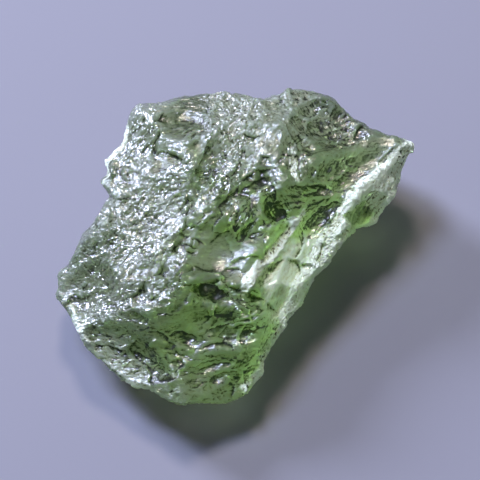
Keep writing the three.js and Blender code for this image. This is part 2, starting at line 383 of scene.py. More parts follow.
ragged = pulled(points)
ragged_u, ragged_v, _ = (ragged @ FACE_AXES.T).T
print("outlines pulled by up to", round(float(np.linalg.norm(ragged - points, axis=1).max()), 2), "mm")


# %% [markdown]
# A blow takes off a flake and leaves a shell: a shallow dish, like the inside of a mussel. Some are round.
# Others run in gently from one end and stop at a wall. One function makes both, and all that lies between.

# %% The shape of one shell
def shell(along, across, depth, step):
    """The floor of a shell whose outline is the unit circle. With `step` 0 it is a round dish. With `step` 1
    it runs in gently from one end and stops at a wall at the other, where `along` is 1."""
    round_dish = along**2 + across**2 - 1
    stepped = -np.sqrt(np.clip(1 - across**2, 0, 1)) * (1 + along) / 2
    inside = round_dish < 0
    return np.where(inside, depth * ((1 - step) * round_dish + step * stepped), np.inf)


# %% [markdown]
# The whole skin is chipped, so most shells are scattered by a random generator with a fixed seed. Large ones
# come first, and smaller ones cut into them. More fall where the skin is furrowed and along the thin rim.

# %% Shells all over, at random
CHIP_SEED = 20
# (name, how many, half width from and to in mm, depth as a share of that, longest stretch, more at the rim)
CHIP_SIZES = [
    ("shells", 140, 1.4, 3.2, 0.1, 1.8, 0.5),
    ("flakes", 900, 0.5, 1.4, 0.16, 2.2, 0.6),
    ("rim chips", 500, 0.25, 0.8, 0.24, 1.6, 4.0),
    ("nicks", 3000, 0.2, 0.5, 0.25, 2.4, 0.6),
]
# the chance of a chip on plain skin, and how much furrows add to it
PLAIN_CHANCE = 0.03
FURROWED_CHANCE = 0.6
# how far a shell turns from the flow, in radians, and its depth's least and most share
TURN_SPREAD = 0.5
DEPTH_SPREAD = (0.5, 1.3)
# a shell takes in skin whose outward direction has at least this cosine with its own
BENT_AWAY = 0.6
# it is cut down from this share of the height that its middle already has
SUNK = 0.8

rng = np.random.default_rng(CHIP_SEED)
stone_points = ragged.astype(np.float32)
stone_out = outward.astype(np.float32)
for name, how_many, least, most, share, longest, at_rim in CHIP_SIZES:
    chance = PLAIN_CHANCE + furrowed * FURROWED_CHANCE + rim * at_rim
    chance /= chance.sum()
    for at in rng.choice(len(points), size=how_many, p=chance):
        half = rng.uniform(least, most)
        stretch = rng.uniform(1, longest)
        turn = flow[at] + rng.normal(0, TURN_SPREAD) + (math.pi if rng.random() < 0.5 else 0)
        distance_squared = ((stone_points - stone_points[at]) ** 2).sum(axis=1)
        near = np.flatnonzero(distance_squared < (half * stretch) ** 2)
        near = near[stone_out[near] @ stone_out[at] > BENT_AWAY]
        way = FACE_AXES[0] * math.cos(turn) + FACE_AXES[1] * math.sin(turn)
        way = way - outward[at] * (way @ outward[at])
        way /= np.linalg.norm(way)
        side = np.cross(outward[at], way)
        reach = ragged[near] - ragged[at]
        depth = half * share * rng.uniform(*DEPTH_SPREAD)
        step = rng.uniform(0, 1)
        floor_height = shell(reach @ way / (half * stretch), reach @ side / half, depth, step)
        height[near] = np.minimum(height[near], floor_height + height[at] * SUNK)
    print(name, "cut:", how_many, "- average loss", round(-height.mean(), 3), "mm")


# %% [markdown]
# The biggest breaks are what this stone is known by, so they are placed one by one: the smooth shell in the
# middle, the crater above it, the pit below, and the overlapping shells of the lower slope.

# %% Shells placed one by one
# (u, v, half length, half width, direction of the step in degrees, depth, step)
HAND_SHELLS = [
    (-1.9, -0.5, 1.9, 1.5, -55, 0.3, 0.7),
    (-4.4, 10.2, 0.95, 2.1, 98, 0.4, 0.6),
    (-6.8, 7.7, 0.45, 1.0, 150, 0.35, 0.8),
    (-5.6, 6.7, 0.7, 1.5, 95, 0.25, 0.8),
    (-8.3, 5.2, 1.1, 0.6, 30, 0.2, 0.5),
    (-9.2, 8.2, 0.8, 2.0, -30, 0.25, 0.6),
    (-7.8, -1.9, 0.8, 1.7, -60, 0.3, 0.8),
    (-3.1, 7.9, 0.6, 0.9, 150, 0.2, 0.3),
    (-2.2, 7.2, 0.4, 0.9, 160, 0.35, 0.8),
    (-2.7, 4.6, 0.4, 0.7, 160, 0.3, 0.8),
    (-3.4, 3.0, 0.4, 0.8, 160, 0.3, 0.8),
    (-0.9, 3.3, 0.6, 0.6, 120, 0.35, 0.8),
    (-2.9, 1.0, 0.8, 1.2, 120, 0.25, 0.7),
    (3.0, 2.8, 1.1, 0.9, -48, 0.5, 0.6),
    (2.6, 3.8, 0.7, 1.1, -20, 0.35, 0.7),
    (3.5, 2.3, 0.5, 0.7, -60, 0.3, 0.5),
    (2.2, 4.9, 0.8, 0.8, 60, 0.2, 0.3),
    (0.9, 1.4, 0.45, 1.3, -30, 0.35, 0.8),
    (1.9, 0.7, 0.35, 0.8, 100, 0.3, 0.8),
    (5.8, 4.2, 0.6, 1.9, 92, 0.4, 0.9),
    (7.1, 2.1, 0.85, 2.2, 128, 0.5, 0.9),
    (8.5, 4.5, 0.85, 3.2, 128, 0.2, 0.5),
    (7.6, 6.1, 0.8, 1.8, 130, 0.2, 0.6),
    (7.0, 7.4, 0.6, 1.9, 88, 0.25, 0.7),
    (7.2, 9.1, 1.5, 1.1, 170, 0.3, 0.6),
    (8.9, 10.3, 1.2, 1.4, 140, 0.25, 0.5),
    (5.0, 9.2, 1.2, 1.0, 120, 0.3, 0.6),
    (6.0, 11.4, 1.2, 0.9, 80, 0.25, 0.6),
    (3.2, 11.0, 0.9, 1.2, 60, 0.2, 0.5),
    (2.8, 8.6, 1.1, 0.9, 100, 0.25, 0.5),
    (10.4, 9.0, 0.6, 1.0, 120, 0.3, 0.7),
    (11.0, 7.4, 1.0, 2.4, 128, 0.2, 0.3),
    (9.9, 2.5, 0.9, 1.4, 130, 0.3, 0.5),
    (12.6, 6.6, 0.8, 1.6, 140, 0.2, 0.4),
    (4.6, 5.9, 0.6, 1.3, 0, 0.2, 0.6),
    (-2.1, -3.8, 0.7, 1.45, 64, 0.7, 0.85),
    (1.2, -4.0, 0.6, 0.9, 90, 0.35, 0.8),
    (-0.1, -2.4, 0.5, 1.0, 90, 0.25, 0.7),
    (-4.1, -7.1, 0.45, 1.2, 86, 0.3, 0.9),
    (-4.7, -8.9, 0.45, 1.3, 92, 0.25, 0.9),
    (-4.5, -10.0, 0.35, 0.6, 90, 0.2, 0.9),
    (-6.2, -7.1, 0.4, 1.0, 84, 0.2, 0.9),
    (-3.4, -5.6, 0.9, 1.5, 100, 0.12, 0.5),
    (-1.0, -8.4, 1.1, 1.9, 104, 0.2, 0.8),
    (-1.9, -9.6, 0.7, 2.0, 104, 0.18, 0.8),
    (-0.6, -10.6, 0.7, 1.6, 104, 0.18, 0.8),
    (-0.9, -6.9, 0.8, 1.8, 112, 0.15, 0.7),
    (1.4, -7.4, 0.9, 1.0, 100, 0.15, 0.6),
    (-7.6, -5.6, 0.5, 1.0, 80, 0.25, 0.8),
    (-9.4, -5.2, 0.5, 1.1, 70, 0.25, 0.8),
    (-11.2, -6.9, 0.7, 0.7, 60, 0.3, 0.7),
    (-9.4, -9.2, 1.3, 3.0, 64, 0.12, 0.4),
    (-12.4, -4.8, 0.7, 0.9, 60, 0.25, 0.6),
]

# %% Cut the shells placed one by one
# a shell is sunk from the height that this share of its ground stays below, in percent
LEVEL_PERCENT = 60


def cut_shell(at, half_length, half_width, turn, depth, step):
    """Lowers the skin to a shell whose place and size are given on the face."""
    angle = math.radians(turn)
    du, dv = ragged_u - at[0], ragged_v - at[1]
    along = (du * math.cos(angle) + dv * math.sin(angle)) / half_length
    across = (dv * math.cos(angle) - du * math.sin(angle)) / half_width
    inside = np.flatnonzero((along**2 + across**2 < 1) & (seen > 0))
    if len(inside) == 0:
        return
    level = np.percentile(height[inside], LEVEL_PERCENT)
    floor_height = shell(along[inside], across[inside], depth, step) + level
    lowered = np.minimum(height[inside], floor_height)
    height[inside] += (lowered - height[inside]) * seen[inside]


for at_u, at_v, *sizes in HAND_SHELLS:
    cut_shell((at_u, at_v), *sizes)
print(len(HAND_SHELLS), "shells cut by hand")


# %% [markdown]
# ## Ledges, ribs and cracks
#
# Between two breaks stands a ledge or a rib, and fine cracks run from them into the glass. Each is drawn as a
# path on the face. The skin beside it is lifted or lowered by its distance from the path, so a line can be
# moved by changing one pair of numbers.

# %% Carving tools for lines
# how much of a path keeps its full strength: more makes the ends blunter
BLUNTNESS = 1.6
# how wide the drop at a ledge is, in mm
CLIFF = 0.1


def beside_path(path):
    """For each point of the skin: how far it lies to the right of a path, and its share of the way along."""
    corners = np.array(path, float)
    runs = np.linalg.norm(np.diff(corners, axis=0), axis=1)
    starts = np.concatenate([[0], np.cumsum(runs)])
    nearest = np.full(len(u), np.inf)
    side = np.zeros(len(u))
    share = np.zeros(len(u))
    for (au, av), (bu, bv), run, start in zip(corners, corners[1:], runs, starts):
        du, dv = (bu - au) / run, (bv - av) / run
        from_u, from_v = ragged_u - au, ragged_v - av
        along = np.clip(from_u * du + from_v * dv, 0, run)
        gap = np.hypot(from_u - along * du, from_v - along * dv)
        closer = gap < nearest
        nearest[closer] = gap[closer]
        right = from_u * dv - from_v * du
        side[closer] = np.sign(right)[closer]
        share[closer] = ((start + along) / starts[-1])[closer]
    return nearest * side, share


def taper(share):
    """1 in the middle of a path, falling to 0 at its ends."""
    return np.clip(4 * share * (1 - share) * BLUNTNESS, 0, 1)


def ledge(path, drop, fade):
    """Drops the skin sharply on the right of a path, and climbs back slowly."""
    gap, share = beside_path(path)
    return -drop * smooth_step(gap / CLIFF) * np.exp(-np.maximum(gap, 0) / fade) * taper(share) * seen


def ridge(path, rise, width):
    """A raised line along a path, or a groove where the rise is negative."""
    gap, share = beside_path(path)
    return rise * np.exp(-((gap / width) ** 2)) * taper(share) * seen


def crack(path, half_width):
    """1 along a path and 0 away from it, in the lower skin just beside it."""
    gap, share = beside_path(path)
    return np.exp(-(((gap - half_width) / half_width) ** 2)) * taper(share) * seen


# %% Ledges
# (path, drop, how far it takes to climb back); the low side is on the right, going along the path
LEDGES = [
    ([(-4.6, 2.6), (-4.2, 3.4), (-3.8, 4.6), (-3.3, 5.6), (-3.1, 6.2), (-2.7, 7.3), (-2.3, 8.3), (-1.9, 9.0)],
     0.45, 1.0),
    ([(-8.6, -4.2), (-7.3, -3.0), (-6.2, -2.0), (-5.3, -0.8), (-4.7, 0.6), (-4.1, 1.6), (-3.9, 2.4)],
     0.45, 1.0),
    ([(-9.9, 3.8), (-9.5, 4.7), (-9.4, 5.4), (-9.0, 6.1), (-8.5, 7.1)], -0.3, 0.8),
    ([(-6.6, 6.7), (-7.0, 7.2), (-6.8, 8.2), (-6.1, 9.2), (-6.5, 9.9), (-5.8, 10.8)], 0.35, 0.8),
    ([(-6.8, 7.2), (-5.8, 7.6), (-4.9, 7.5), (-4.1, 7.1), (-3.4, 6.2)], 0.2, 0.7),
    ([(-1.7, 2.6), (-1.3, 3.5), (-0.5, 4.3), (0.3, 4.7), (0.8, 5.5), (1.6, 6.1), (3.3, 6.2)], 0.35, 1.2),
    ([(-0.2, 4.0), (1.0, 4.7), (1.6, 5.3), (3.0, 5.6)], 0.15, 0.5),
    ([(0.5, 8.9), (1.2, 8.9), (2.1, 8.8)], 0.2, 0.6),
    ([(2.0, 7.2), (2.8, 7.0), (3.9, 6.9)], 0.25, 0.6),
    ([(3.9, 4.2), (5.0, 4.0), (6.4, 4.2), (7.2, 4.9)], 0.2, 0.7),
    ([(-5.6, -3.9), (-3.9, -3.0), (-3.3, -2.9), (-2.0, -2.9), (-0.9, -3.1), (1.0, -3.1), (2.4, -4.4),
      (3.6, -5.4)], 0.4, 0.9),
    ([(-5.2, -6.9), (-4.2, -6.7), (-3.0, -6.8)], 0.25, 0.5),
    ([(-2.8, -8.1), (-2.0, -7.6), (-1.0, -7.45), (-0.2, -7.8), (0.2, -8.6)], 0.14, 0.5),
    ([(-4.4, -10.2), (-3.0, -9.7), (-1.6, -9.1), (-0.2, -8.9), (1.0, -9.0)], 0.14, 0.6),
    ([(-3.4, -11.2), (-2.0, -10.5), (-0.6, -10.1), (0.6, -10.2)], 0.14, 0.6),
    ([(-11.4, -7.6), (-9.6, -7.9), (-7.6, -8.3), (-6.0, -9.2)], 0.2, 0.6),
    ([(-12.2, 0.3), (-11.2, 0.9), (-11.0, 1.9), (-10.6, 2.8), (-9.9, 3.1)], -0.25, 0.5),
]
print(len(LEDGES), "ledges")

# %% Ridges and grooves
# (path, rise, width)
RIDGES = [
    ([(5.6, 2.7), (5.0, 1.6), (4.2, 0.4), (3.2, -0.8), (2.0, -2.0), (1.2, -3.0)], 0.3, 0.45),
    ([(13.6, 7.8), (12.2, 6.2), (11.0, 5.4), (10.0, 4.4), (8.9, 3.0), (7.6, 1.8), (6.4, 0.6)], 0.15, 0.3),
    ([(-3.3, 1.45), (-2.4, 1.95), (-1.5, 2.5)], 0.22, 0.13),
    ([(-4.1, 2.0), (-3.6, 2.4), (-3.1, 2.7)], 0.15, 0.1),
    ([(-0.7, -6.35), (0.8, -5.9), (2.5, -5.4)], 0.25, 0.12),
    ([(-0.2, -5.9), (1.0, -5.5), (2.2, -5.1)], 0.2, 0.1),
    ([(-3.6, -2.65), (-2.8, -2.5), (-1.8, -2.6), (-0.8, -2.95)], 0.22, 0.25),
    ([(-6.8, -7.8), (-6.0, -7.6), (-5.2, -7.75)], 0.2, 0.2),
    ([(-5.0, -8.1), (-4.2, -8.0), (-3.2, -8.4)], 0.2, 0.22),
    ([(2.5, 1.15), (3.4, 1.6), (4.1, 2.2), (4.2, 3.0)], 0.15, 0.12),
    ([(2.4, 1.0), (3.6, 1.5), (4.6, 1.9), (5.4, 2.1)], 0.12, 0.12),
    ([(-4.1, 0.2), (-3.5, 0.0), (-2.8, -0.4)], -0.15, 0.1),
    ([(-4.0, -0.25), (-3.5, -0.4), (-3.1, -0.75)], -0.15, 0.1),
    ([(-3.6, 0.6), (-3.0, 0.35), (-2.5, 0.0)], -0.12, 0.1),
    ([(-4.3, 8.3), (-3.4, 8.7), (-2.4, 9.2)], 0.15, 0.09),
    ([(-4.4, 8.8), (-3.5, 9.1), (-2.6, 9.5)], 0.15, 0.09),
    ([(-4.1, 7.9), (-3.4, 8.2), (-2.6, 8.6)], 0.12, 0.09),
]
print(len(RIDGES), "ridges and grooves")

# %% [markdown]
# The remesh rounds the drawing's corners, so those of the outline are drawn out again, each by its own pull
# that fades with distance.

# %% Corners drawn out
# (u, v, reach, pull across, pull up)
PULLED_CORNERS = [
    (-7.9, 10.9, 1.3, -0.45, 0.4),
    (-9.9, 7.0, 1.0, -0.3, 0.1),
    (-10.4, 4.9, 0.5, -0.3, 0.1),
    (-13.8, -2.4, 0.6, -0.35, 0.2),
    (-14.0, -3.9, 0.5, -0.15, 0.0),
    (13.9, 7.9, 1.1, 0.25, 0.1),
    (12.6, 4.0, 1.0, 0.25, -0.1),
    (10.8, 1.6, 0.8, 0.35, -0.3),
    (2.0, -10.2, 0.6, 0.35, 0.1),
]
for at_u, at_v, reach, across, up in PULLED_CORNERS:
    share = np.exp(-((u - at_u) ** 2 + (v - at_v) ** 2) / reach**2)[:, None]
    points += share * (FACE_AXES[0] * across + FACE_AXES[1] * up)
print(len(PULLED_CORNERS), "corners drawn out")

# %% [markdown]
# A crack is too thin to carve. Its place is kept instead, and the glass is painted dark along it later, as
# painted shade. Every ledge gets such a dark line along its foot, painted as the shade under its step.

# %% Cracks, as lines of painted shade
# (path, half width)
CRACKS = [
    ([(1.2, 2.6), (0.9, 1.6), (0.8, 0.7), (0.3, -0.2)], 0.06),
    ([(2.0, 4.4), (1.6, 3.6), (1.4, 2.8), (0.9, 2.2)], 0.06),
    ([(0.2, 2.2), (0.8, 1.8), (1.6, 1.7)], 0.05),
    ([(2.1, 7.2), (2.9, 6.9), (4.4, 7.2)], 0.06),
    ([(1.6, 2.2), (2.4, 1.8), (3.4, 2.0), (4.2, 2.6)], 0.06),
    ([(-2.2, 0.2), (-1.2, 0.9), (0.2, 1.4)], 0.05),
    ([(-3.4, -1.6), (-2.6, -1.9), (-1.4, -1.8), (-0.4, -1.4)], 0.05),
    ([(-7.0, 9.0), (-6.4, 10.0), (-5.4, 10.6)], 0.05),
    ([(-9.6, 3.4), (-8.4, 3.8), (-7.4, 3.6)], 0.05),
    ([(-8.2, 4.4), (-8.6, 5.4), (-8.4, 6.4)], 0.05),
    ([(-6.0, 5.2), (-5.0, 5.6), (-4.2, 5.4)], 0.05),
    ([(4.6, 8.0), (5.4, 7.4), (6.6, 7.2)], 0.06),
    ([(6.2, 10.6), (6.8, 9.4), (7.8, 8.6), (9.0, 8.4)], 0.06),
    ([(9.2, 10.4), (8.8, 9.4), (9.4, 8.6)], 0.05),
    ([(5.6, 3.0), (6.6, 3.2), (7.8, 4.0)], 0.07),
    ([(6.6, 1.6), (7.4, 2.4), (8.2, 2.8)], 0.07),
    ([(-6.8, -5.6), (-5.6, -5.3), (-4.4, -5.5)], 0.06),
    ([(-7.8, -6.6), (-6.8, -6.3), (-5.8, -6.5), (-5.0, -6.3)], 0.06),
    ([(-4.4, -7.6), (-3.4, -7.3), (-2.2, -7.4)], 0.06),
    ([(-2.6, -5.6), (-1.6, -5.2), (-0.6, -5.3), (0.4, -4.8)], 0.06),
    ([(-8.8, -3.6), (-7.8, -2.9), (-7.0, -2.3)], 0.05),
    ([(0.8, -6.9), (1.8, -6.4), (2.8, -6.2)], 0.06),
    ([(-10.6, -5.0), (-9.4, -4.6), (-8.2, -4.9)], 0.05),
]
# half width of the line of painted shade along the foot of each ledge
LEDGE_SHADE_WIDTH = 0.08
print(len(CRACKS), "cracks, and", len(LEDGES), "along the ledges")

# %% [markdown]
# No ledge or crack is even from end to end, so a noise makes them come and go.

# %% Cut the lines
BROKEN_EVERY = 0.9
# how strongly the noise changes a line, and the least and the most of a line that it leaves
UNEVENNESS = 2.4
FAINTEST = 0.15
STRONGEST = 1.5

comes_and_goes = np.array([noise.noise(p) for p in points / BROKEN_EVERY])
comes_and_goes = np.clip(1 + UNEVENNESS * comes_and_goes, FAINTEST, STRONGEST)
crack_shade = np.zeros(len(u))
for path, drop, fade in LEDGES:
    height += ledge(path, drop, fade) * comes_and_goes
    crack_shade = np.maximum(crack_shade, crack(path, LEDGE_SHADE_WIDTH) * comes_and_goes)
for path, half_width in CRACKS:
    crack_shade = np.maximum(crack_shade, crack(path, half_width) * comes_and_goes)
crack_shade = np.minimum(crack_shade, 1)
for path, rise, width in RIDGES:
    height += ridge(path, rise, width)
print("cracked:", round(float((crack_shade > 0.5).mean() * 100), 2), "% of the points")

# %% Move the skin
height -= np.median(height)
print("heights:", np.round(np.percentile(height, [0, 5, 50, 95, 100]), 2), "mm")

points += outward * height[:, None]
set_points(stone.data, points)
for name, values in {"flow": flow, "furrowed": furrowed, "streaked": streaked, "rippled": rippled}.items():
    set_attribute(stone.data, name, values)
normals = normals_of(stone.data)

# %% [markdown]
# ## Crushed edges, and painted light on them
#
# Where the stone has knocked against others, its thin edges are crushed to white frost. On the ridge in the
# middle the frost's pale tint is a painted highlight, and along the right-hand edges it also paints light
# that shines out through the thin glass. These places are given as paths that widen and narrow. They are kept
# as a number at each point, and the glass reads it later.

# %% Where the edges are frosted, and where light is painted on them
# (path, half width at each corner of the path, how solid the frost is)
FROST_AND_PAINTED_LIGHT_BANDS = [
    # the ridge in the middle: frost, painted as a highlight
    ([(1.0, -2.9), (3.0, -0.6), (5.6, 2.8)], (0.45, 0.38, 0.12), 2.6),
    # the right-hand edges: frost, and painted light that shines out through the thin glass
    ([(11.0, 3.8), (12.3, 5.6), (13.8, 7.2)], (0.7, 1.2, 1.0), 0.9),
    ([(8.4, 2.6), (10.0, 4.4), (11.4, 5.2), (12.6, 4.6)], (0.3, 0.5, 0.6, 0.5), 1.0),
    ([(12.9, 4.2), (10.9, 1.8), (8.8, -0.4)], (0.45, 0.4, 0.25), 1.6),
    ([(8.4, 1.6), (7.2, -0.4), (6.0, -2.2), (4.8, -4.0), (3.8, -6.0)], (0.7, 0.9, 0.75, 0.55, 0.45), 1.4),
    ([(3.8, -6.0), (2.6, -8.2), (1.9, -10.0), (0.6, -11.2)], (0.4, 0.3, 0.35, 0.3), 1.2),
    # the left rims, then a short band in the middle
    ([(-8.6, 10.2), (-9.2, 8.4), (-10.2, 6.4), (-10.2, 4.8)], (0.12, 0.2, 0.25, 0.15), 1.0),
    ([(-13.0, -4.8), (-12.2, -6.4), (-11.6, -7.6)], (0.12, 0.2, 0.1), 1.0),
    ([(4.2, 7.6), (4.6, 6.2), (4.8, 4.9)], (0.15, 0.35, 0.15), 1.0),
]
# the width in mm over which a band fades out, and the `facing` down to which it wraps round an edge
BAND_FADE = 0.15
BAND_WRAPS_TO = -0.4

frost_and_painted_light = np.zeros(len(u))
for path, half_widths, solid in FROST_AND_PAINTED_LIGHT_BANDS:
    gap, share = beside_path(path)
    corners = np.concatenate([[0], np.cumsum(np.linalg.norm(np.diff(np.array(path), axis=0), axis=1))])
    half_width = np.interp(share, corners / corners[-1], half_widths)
    crisp = smooth_step((half_width - np.abs(gap)) / BAND_FADE + 0.5)
    frost_and_painted_light = np.maximum(frost_and_painted_light, crisp * solid * (facing > BAND_WRAPS_TO))
set_attribute(stone.data, "frost_and_painted_light", frost_and_painted_light)
print("bruised skin:", round(float((frost_and_painted_light > 0.5).mean() * 100), 1), "% of the points")

# %% [markdown]
# ## Hazy glass, and painted shade
#
# Skin that is finely pitted scatters light and looks milky. Where a deep fresh break looks dark and clear,
# the glass stays clear and is painted darker, as painted shade. Each spot gives its haze, which below 0 is
# painted shade, and every point takes a blend of the spots near it, as for the etching.

# %% Where the skin is milky, where it is clear, and where shade is painted
# (u, v, reach, haze): 1 is milky, 0 is clear, and below 0 is painted shade, darker than usual
HAZE_AND_SHADE_SPOTS = [
    # the broad etched facet on the left
    (-6.5, 1.5, 2.6, 0.22),
    (-8.6, -2.0, 2.4, 0.1),
    (-5.0, 4.0, 2.0, 0.18),
    (-9.5, -5.0, 1.6, 0.1),
    (-8.2, 7.5, 1.8, 0.12),
    (-7.4, 10.4, 1.4, 0.2),
    (-3.8, 10.0, 1.2, 0.0),
    (-3.6, 7.4, 1.4, 0.15),
    # the speckled band and the top right
    (0.6, 10.2, 1.6, 0.25),
    (0.0, 7.4, 1.4, 0.25),
    (-1.8, 4.6, 1.0, 0.0),
    (3.2, 8.4, 1.2, 0.15),
    (5.6, 9.6, 1.6, 0.12),
    (9.0, 9.4, 1.8, -0.1),
    (8.6, 5.6, 2.0, -0.05),
    (5.8, 5.6, 1.4, 0.0),
    # the crater, the smooth shell and the pit, with painted shade round the crater and in the pit
    (2.4, 3.6, 1.6, -0.14),
    (0.4, 4.0, 1.0, -0.15),
    (6.4, 2.8, 1.2, -0.15),
    (0.6, 1.2, 1.2, -0.1),
    (-1.4, -0.8, 1.4, 0.2),
    (2.0, -0.6, 0.9, 0.0),
    (3.8, 1.6, 0.8, -0.05),
    (-4.4, -3.4, 1.4, 0.0),
    (-2.0, -3.9, 1.2, -0.25),
    # the milky slope on the right and the thin edge above it
    (10.6, 1.9, 1.0, -0.1),
    (4.6, -2.0, 1.3, 1.0),
    (3.5, -4.4, 0.9, 0.9),
    (6.6, -0.5, 0.9, 0.8),
    (12.0, 5.0, 1.0, 0.6),
    # the lower slope and the left tip
    (1.2, -4.6, 1.0, -0.1),
    (-3.2, -8.8, 2.2, 0.02),
    (1.0, -8.4, 1.6, -0.1),
    (-7.0, -7.0, 1.4, -0.1),
    (-9.4, -8.6, 1.6, 0.35),
    (-11.6, -4.6, 1.4, 0.15),
]
BACK_HAZE = 0.1
print(len(HAZE_AND_SHADE_SPOTS), "hazy and clear spots")


# %% Blend them over the skin too
def blend_haze_and_shade():
    """The haze at each point of the skin, which is painted shade where it is below 0."""
    blend = np.zeros(len(u))
    total = np.zeros(len(u))
    for spot_u, spot_v, reach, haze_and_shade_there in HAZE_AND_SHADE_SPOTS:
        weight = np.exp(-((u - spot_u) ** 2 + (v - spot_v) ** 2) / reach**2) + FAR_WEIGHT
        blend += weight * haze_and_shade_there
        total += weight
    return blend / total * on_front + BACK_HAZE * (1 - on_front)


haze_and_painted_shade = blend_haze_and_shade()
set_attribute(stone.data, "haze_and_painted_shade", haze_and_painted_shade)
print("haze:", round(float(haze_and_painted_shade.min()), 2), "to", round(float(haze_and_painted_shade.max()), 2))

# %% [markdown]
# ## Etch the skin with Geometry Nodes
#
# The same small shapes repeat all over an etched stone, so a node tree makes them. Acid eats dishes into
# glass, side by side, and where it follows a flow line the dishes are drawn out to furrows and streaks. The
# tree's sizes are named inputs in millimetres, and its tip and seed are inputs too, as plain numbers. So each
# can be changed on its own.

# %% A helper that adds a node
def add_node(tree, kind, links=None, **settings):
    """Adds a node, sets its properties, and fills its inputs with what `links` gives for each: a value, a
    socket, or another node, which stands for its first output."""
    node = tree.nodes.new(kind)
    for name, value in settings.items():
        setattr(node, name, value)
    for key, source in (links or {}).items():
        socket = node.inputs[key]
        if isinstance(source, bpy.types.Node):
            source = source.outputs[0]
        if isinstance(source, bpy.types.NodeSocket):
            tree.links.new(source, socket)
        else:
            socket.default_value = source
    return node


# %% The etching tree and its sizes
SIZES = {
    "Furrow length": 0.9,
    "Furrow width": 0.25,
    "Furrow depth": 0.07,
    "Streak length": 3.0,
    "Streak width": 0.2,
    "Streak depth": 0.035,
    "Wave length": 3.2,
    "Wave width": 1.3,
    "Wave depth": 0.16,
    "Grit width": 0.24,
    "Grit depth": 0.03,
    "Ripple spacing": 0.6,
    "Ripple depth": 0.06,
    "Tip": 1.4,
    "Seed": 7.0,
}

etching = bpy.data.node_groups.new("etched skin", "GeometryNodeTree")
sockets = etching.interface
sockets.new_socket("Geometry", in_out="INPUT", socket_type="NodeSocketGeometry")
for name, size in SIZES.items():
    sockets.new_socket(name, in_out="INPUT", socket_type="NodeSocketFloat").default_value = size
sockets.new_socket("Glass", in_out="INPUT", socket_type="NodeSocketMaterial")
sockets.new_socket("Geometry", in_out="OUTPUT", socket_type="NodeSocketGeometry")

given = add_node(etching, "NodeGroupInput").outputs
place = add_node(etching, "GeometryNodeInputPosition")
on_skin = {}
for name in ("flow", "furrowed", "streaked", "rippled"):
    stored = add_node(etching, "GeometryNodeInputNamedAttribute", {"Name": name}, data_type="FLOAT")
    on_skin[name] = stored.outputs["Attribute"]
print("etching tree takes", len(SIZES), "sizes")

# %% [markdown]
# A Voronoi texture divides space into cells, one round each of many scattered points. The distance from a
# cell's point, squared, is a round dish with a sharp rim against its neighbours. Each dish is also tipped its
# own way, by its cell's random colour, so that one catches the lamp and the next does not.

# %% Tipped dishes, side by side
RIM_DISTANCE = 0.75
HALF_COLOUR = (0.5, 0.5, 0.5)


def dishes(tree, where, width, seed, tip):
    """Dishes one `width` across, 0 in their middles and 1 on their rims, tipped by up to `tip`."""
    shrink = add_node(tree, "ShaderNodeMath", {0: 1.0, 1: width}, operation="DIVIDE")
    spread = add_node(tree, "ShaderNodeVectorMath", {0: where, "Scale": shrink}, operation="SCALE")
    shifted = add_node(tree, "ShaderNodeVectorMath", {0: spread, 1: seed}, operation="ADD")
    cell = add_node(tree, "ShaderNodeTexVoronoi", {"Vector": shifted, "Scale": 1.0}, feature="F1").outputs
    share = add_node(tree, "ShaderNodeMath", {0: cell["Distance"], 1: RIM_DISTANCE}, operation="DIVIDE")
    dish = add_node(tree, "ShaderNodeMath", {0: share, 1: share}, operation="MULTIPLY")
    dish = add_node(tree, "ShaderNodeMath", {0: dish, 1: 1.0}, operation="MINIMUM")
    lean = add_node(tree, "ShaderNodeVectorMath", {0: cell["Color"], 1: HALF_COLOUR}, operation="SUBTRACT")
    out = add_node(tree, "ShaderNodeVectorMath", {0: shifted, 1: cell["Position"]}, operation="SUBTRACT")
    tipped = add_node(tree, "ShaderNodeVectorMath", {0: out, 1: lean}, operation="DOT_PRODUCT")
    tipped = tipped.outputs["Value"]
    return add_node(tree, "ShaderNodeMath", {0: tipped, 1: tip, 2: dish}, operation="MULTIPLY_ADD")


# %% [markdown]
# A texture can be stretched along one fixed direction, but the flow turns from place to place. So the tree
# holds the same rows in several fixed directions, and every point blends the two nearest to its own flow.

# %% One of several flow directions
def flow_direction(tree, where, flow_way, step, steps):
    """Place turned so that U runs along direction number `step`, and how far the flow there runs that way."""
    angle = math.pi * step / steps
    off = add_node(tree, "ShaderNodeMath", {0: flow_way, 1: angle}, operation="SUBTRACT")
    off = add_node(tree, "ShaderNodeMath", {0: off, 1: math.pi / 2, 2: -math.pi / 2}, operation="WRAP")
    off = add_node(tree, "ShaderNodeMath", {0: off}, operation="ABSOLUTE")
    share = add_node(tree, "ShaderNodeMapRange", {
        "Value": off, "From Min": 0.0, "From Max": math.pi / steps, "To Min": 1.0, "To Max": 0.0})
    turned = add_node(tree, "ShaderNodeVectorRotate", {
        "Vector": where, "Axis": OUT_OF_FACE, "Angle": -angle}, rotation_type="AXIS_ANGLE")
    return turned, share


# %% Rows of dishes along the flow
DIRECTIONS = 6
SEED_STEP = 3.1
# no row of furrows runs quite straight
SHAKE_SIZE = 1.1
SHAKE = 0.9

warp = add_node(etching, "ShaderNodeTexNoise", {"Vector": place, "Scale": 1 / SHAKE_SIZE, "Detail": 3.0})
shake = add_node(etching, "ShaderNodeVectorMath", {0: warp.outputs["Color"], 1: HALF_COLOUR},
                 operation="SUBTRACT")
shake = add_node(etching, "ShaderNodeVectorMath", {0: shake, "Scale": SHAKE}, operation="SCALE")
bent = add_node(etching, "ShaderNodeVectorMath", {0: place, 1: shake}, operation="ADD")

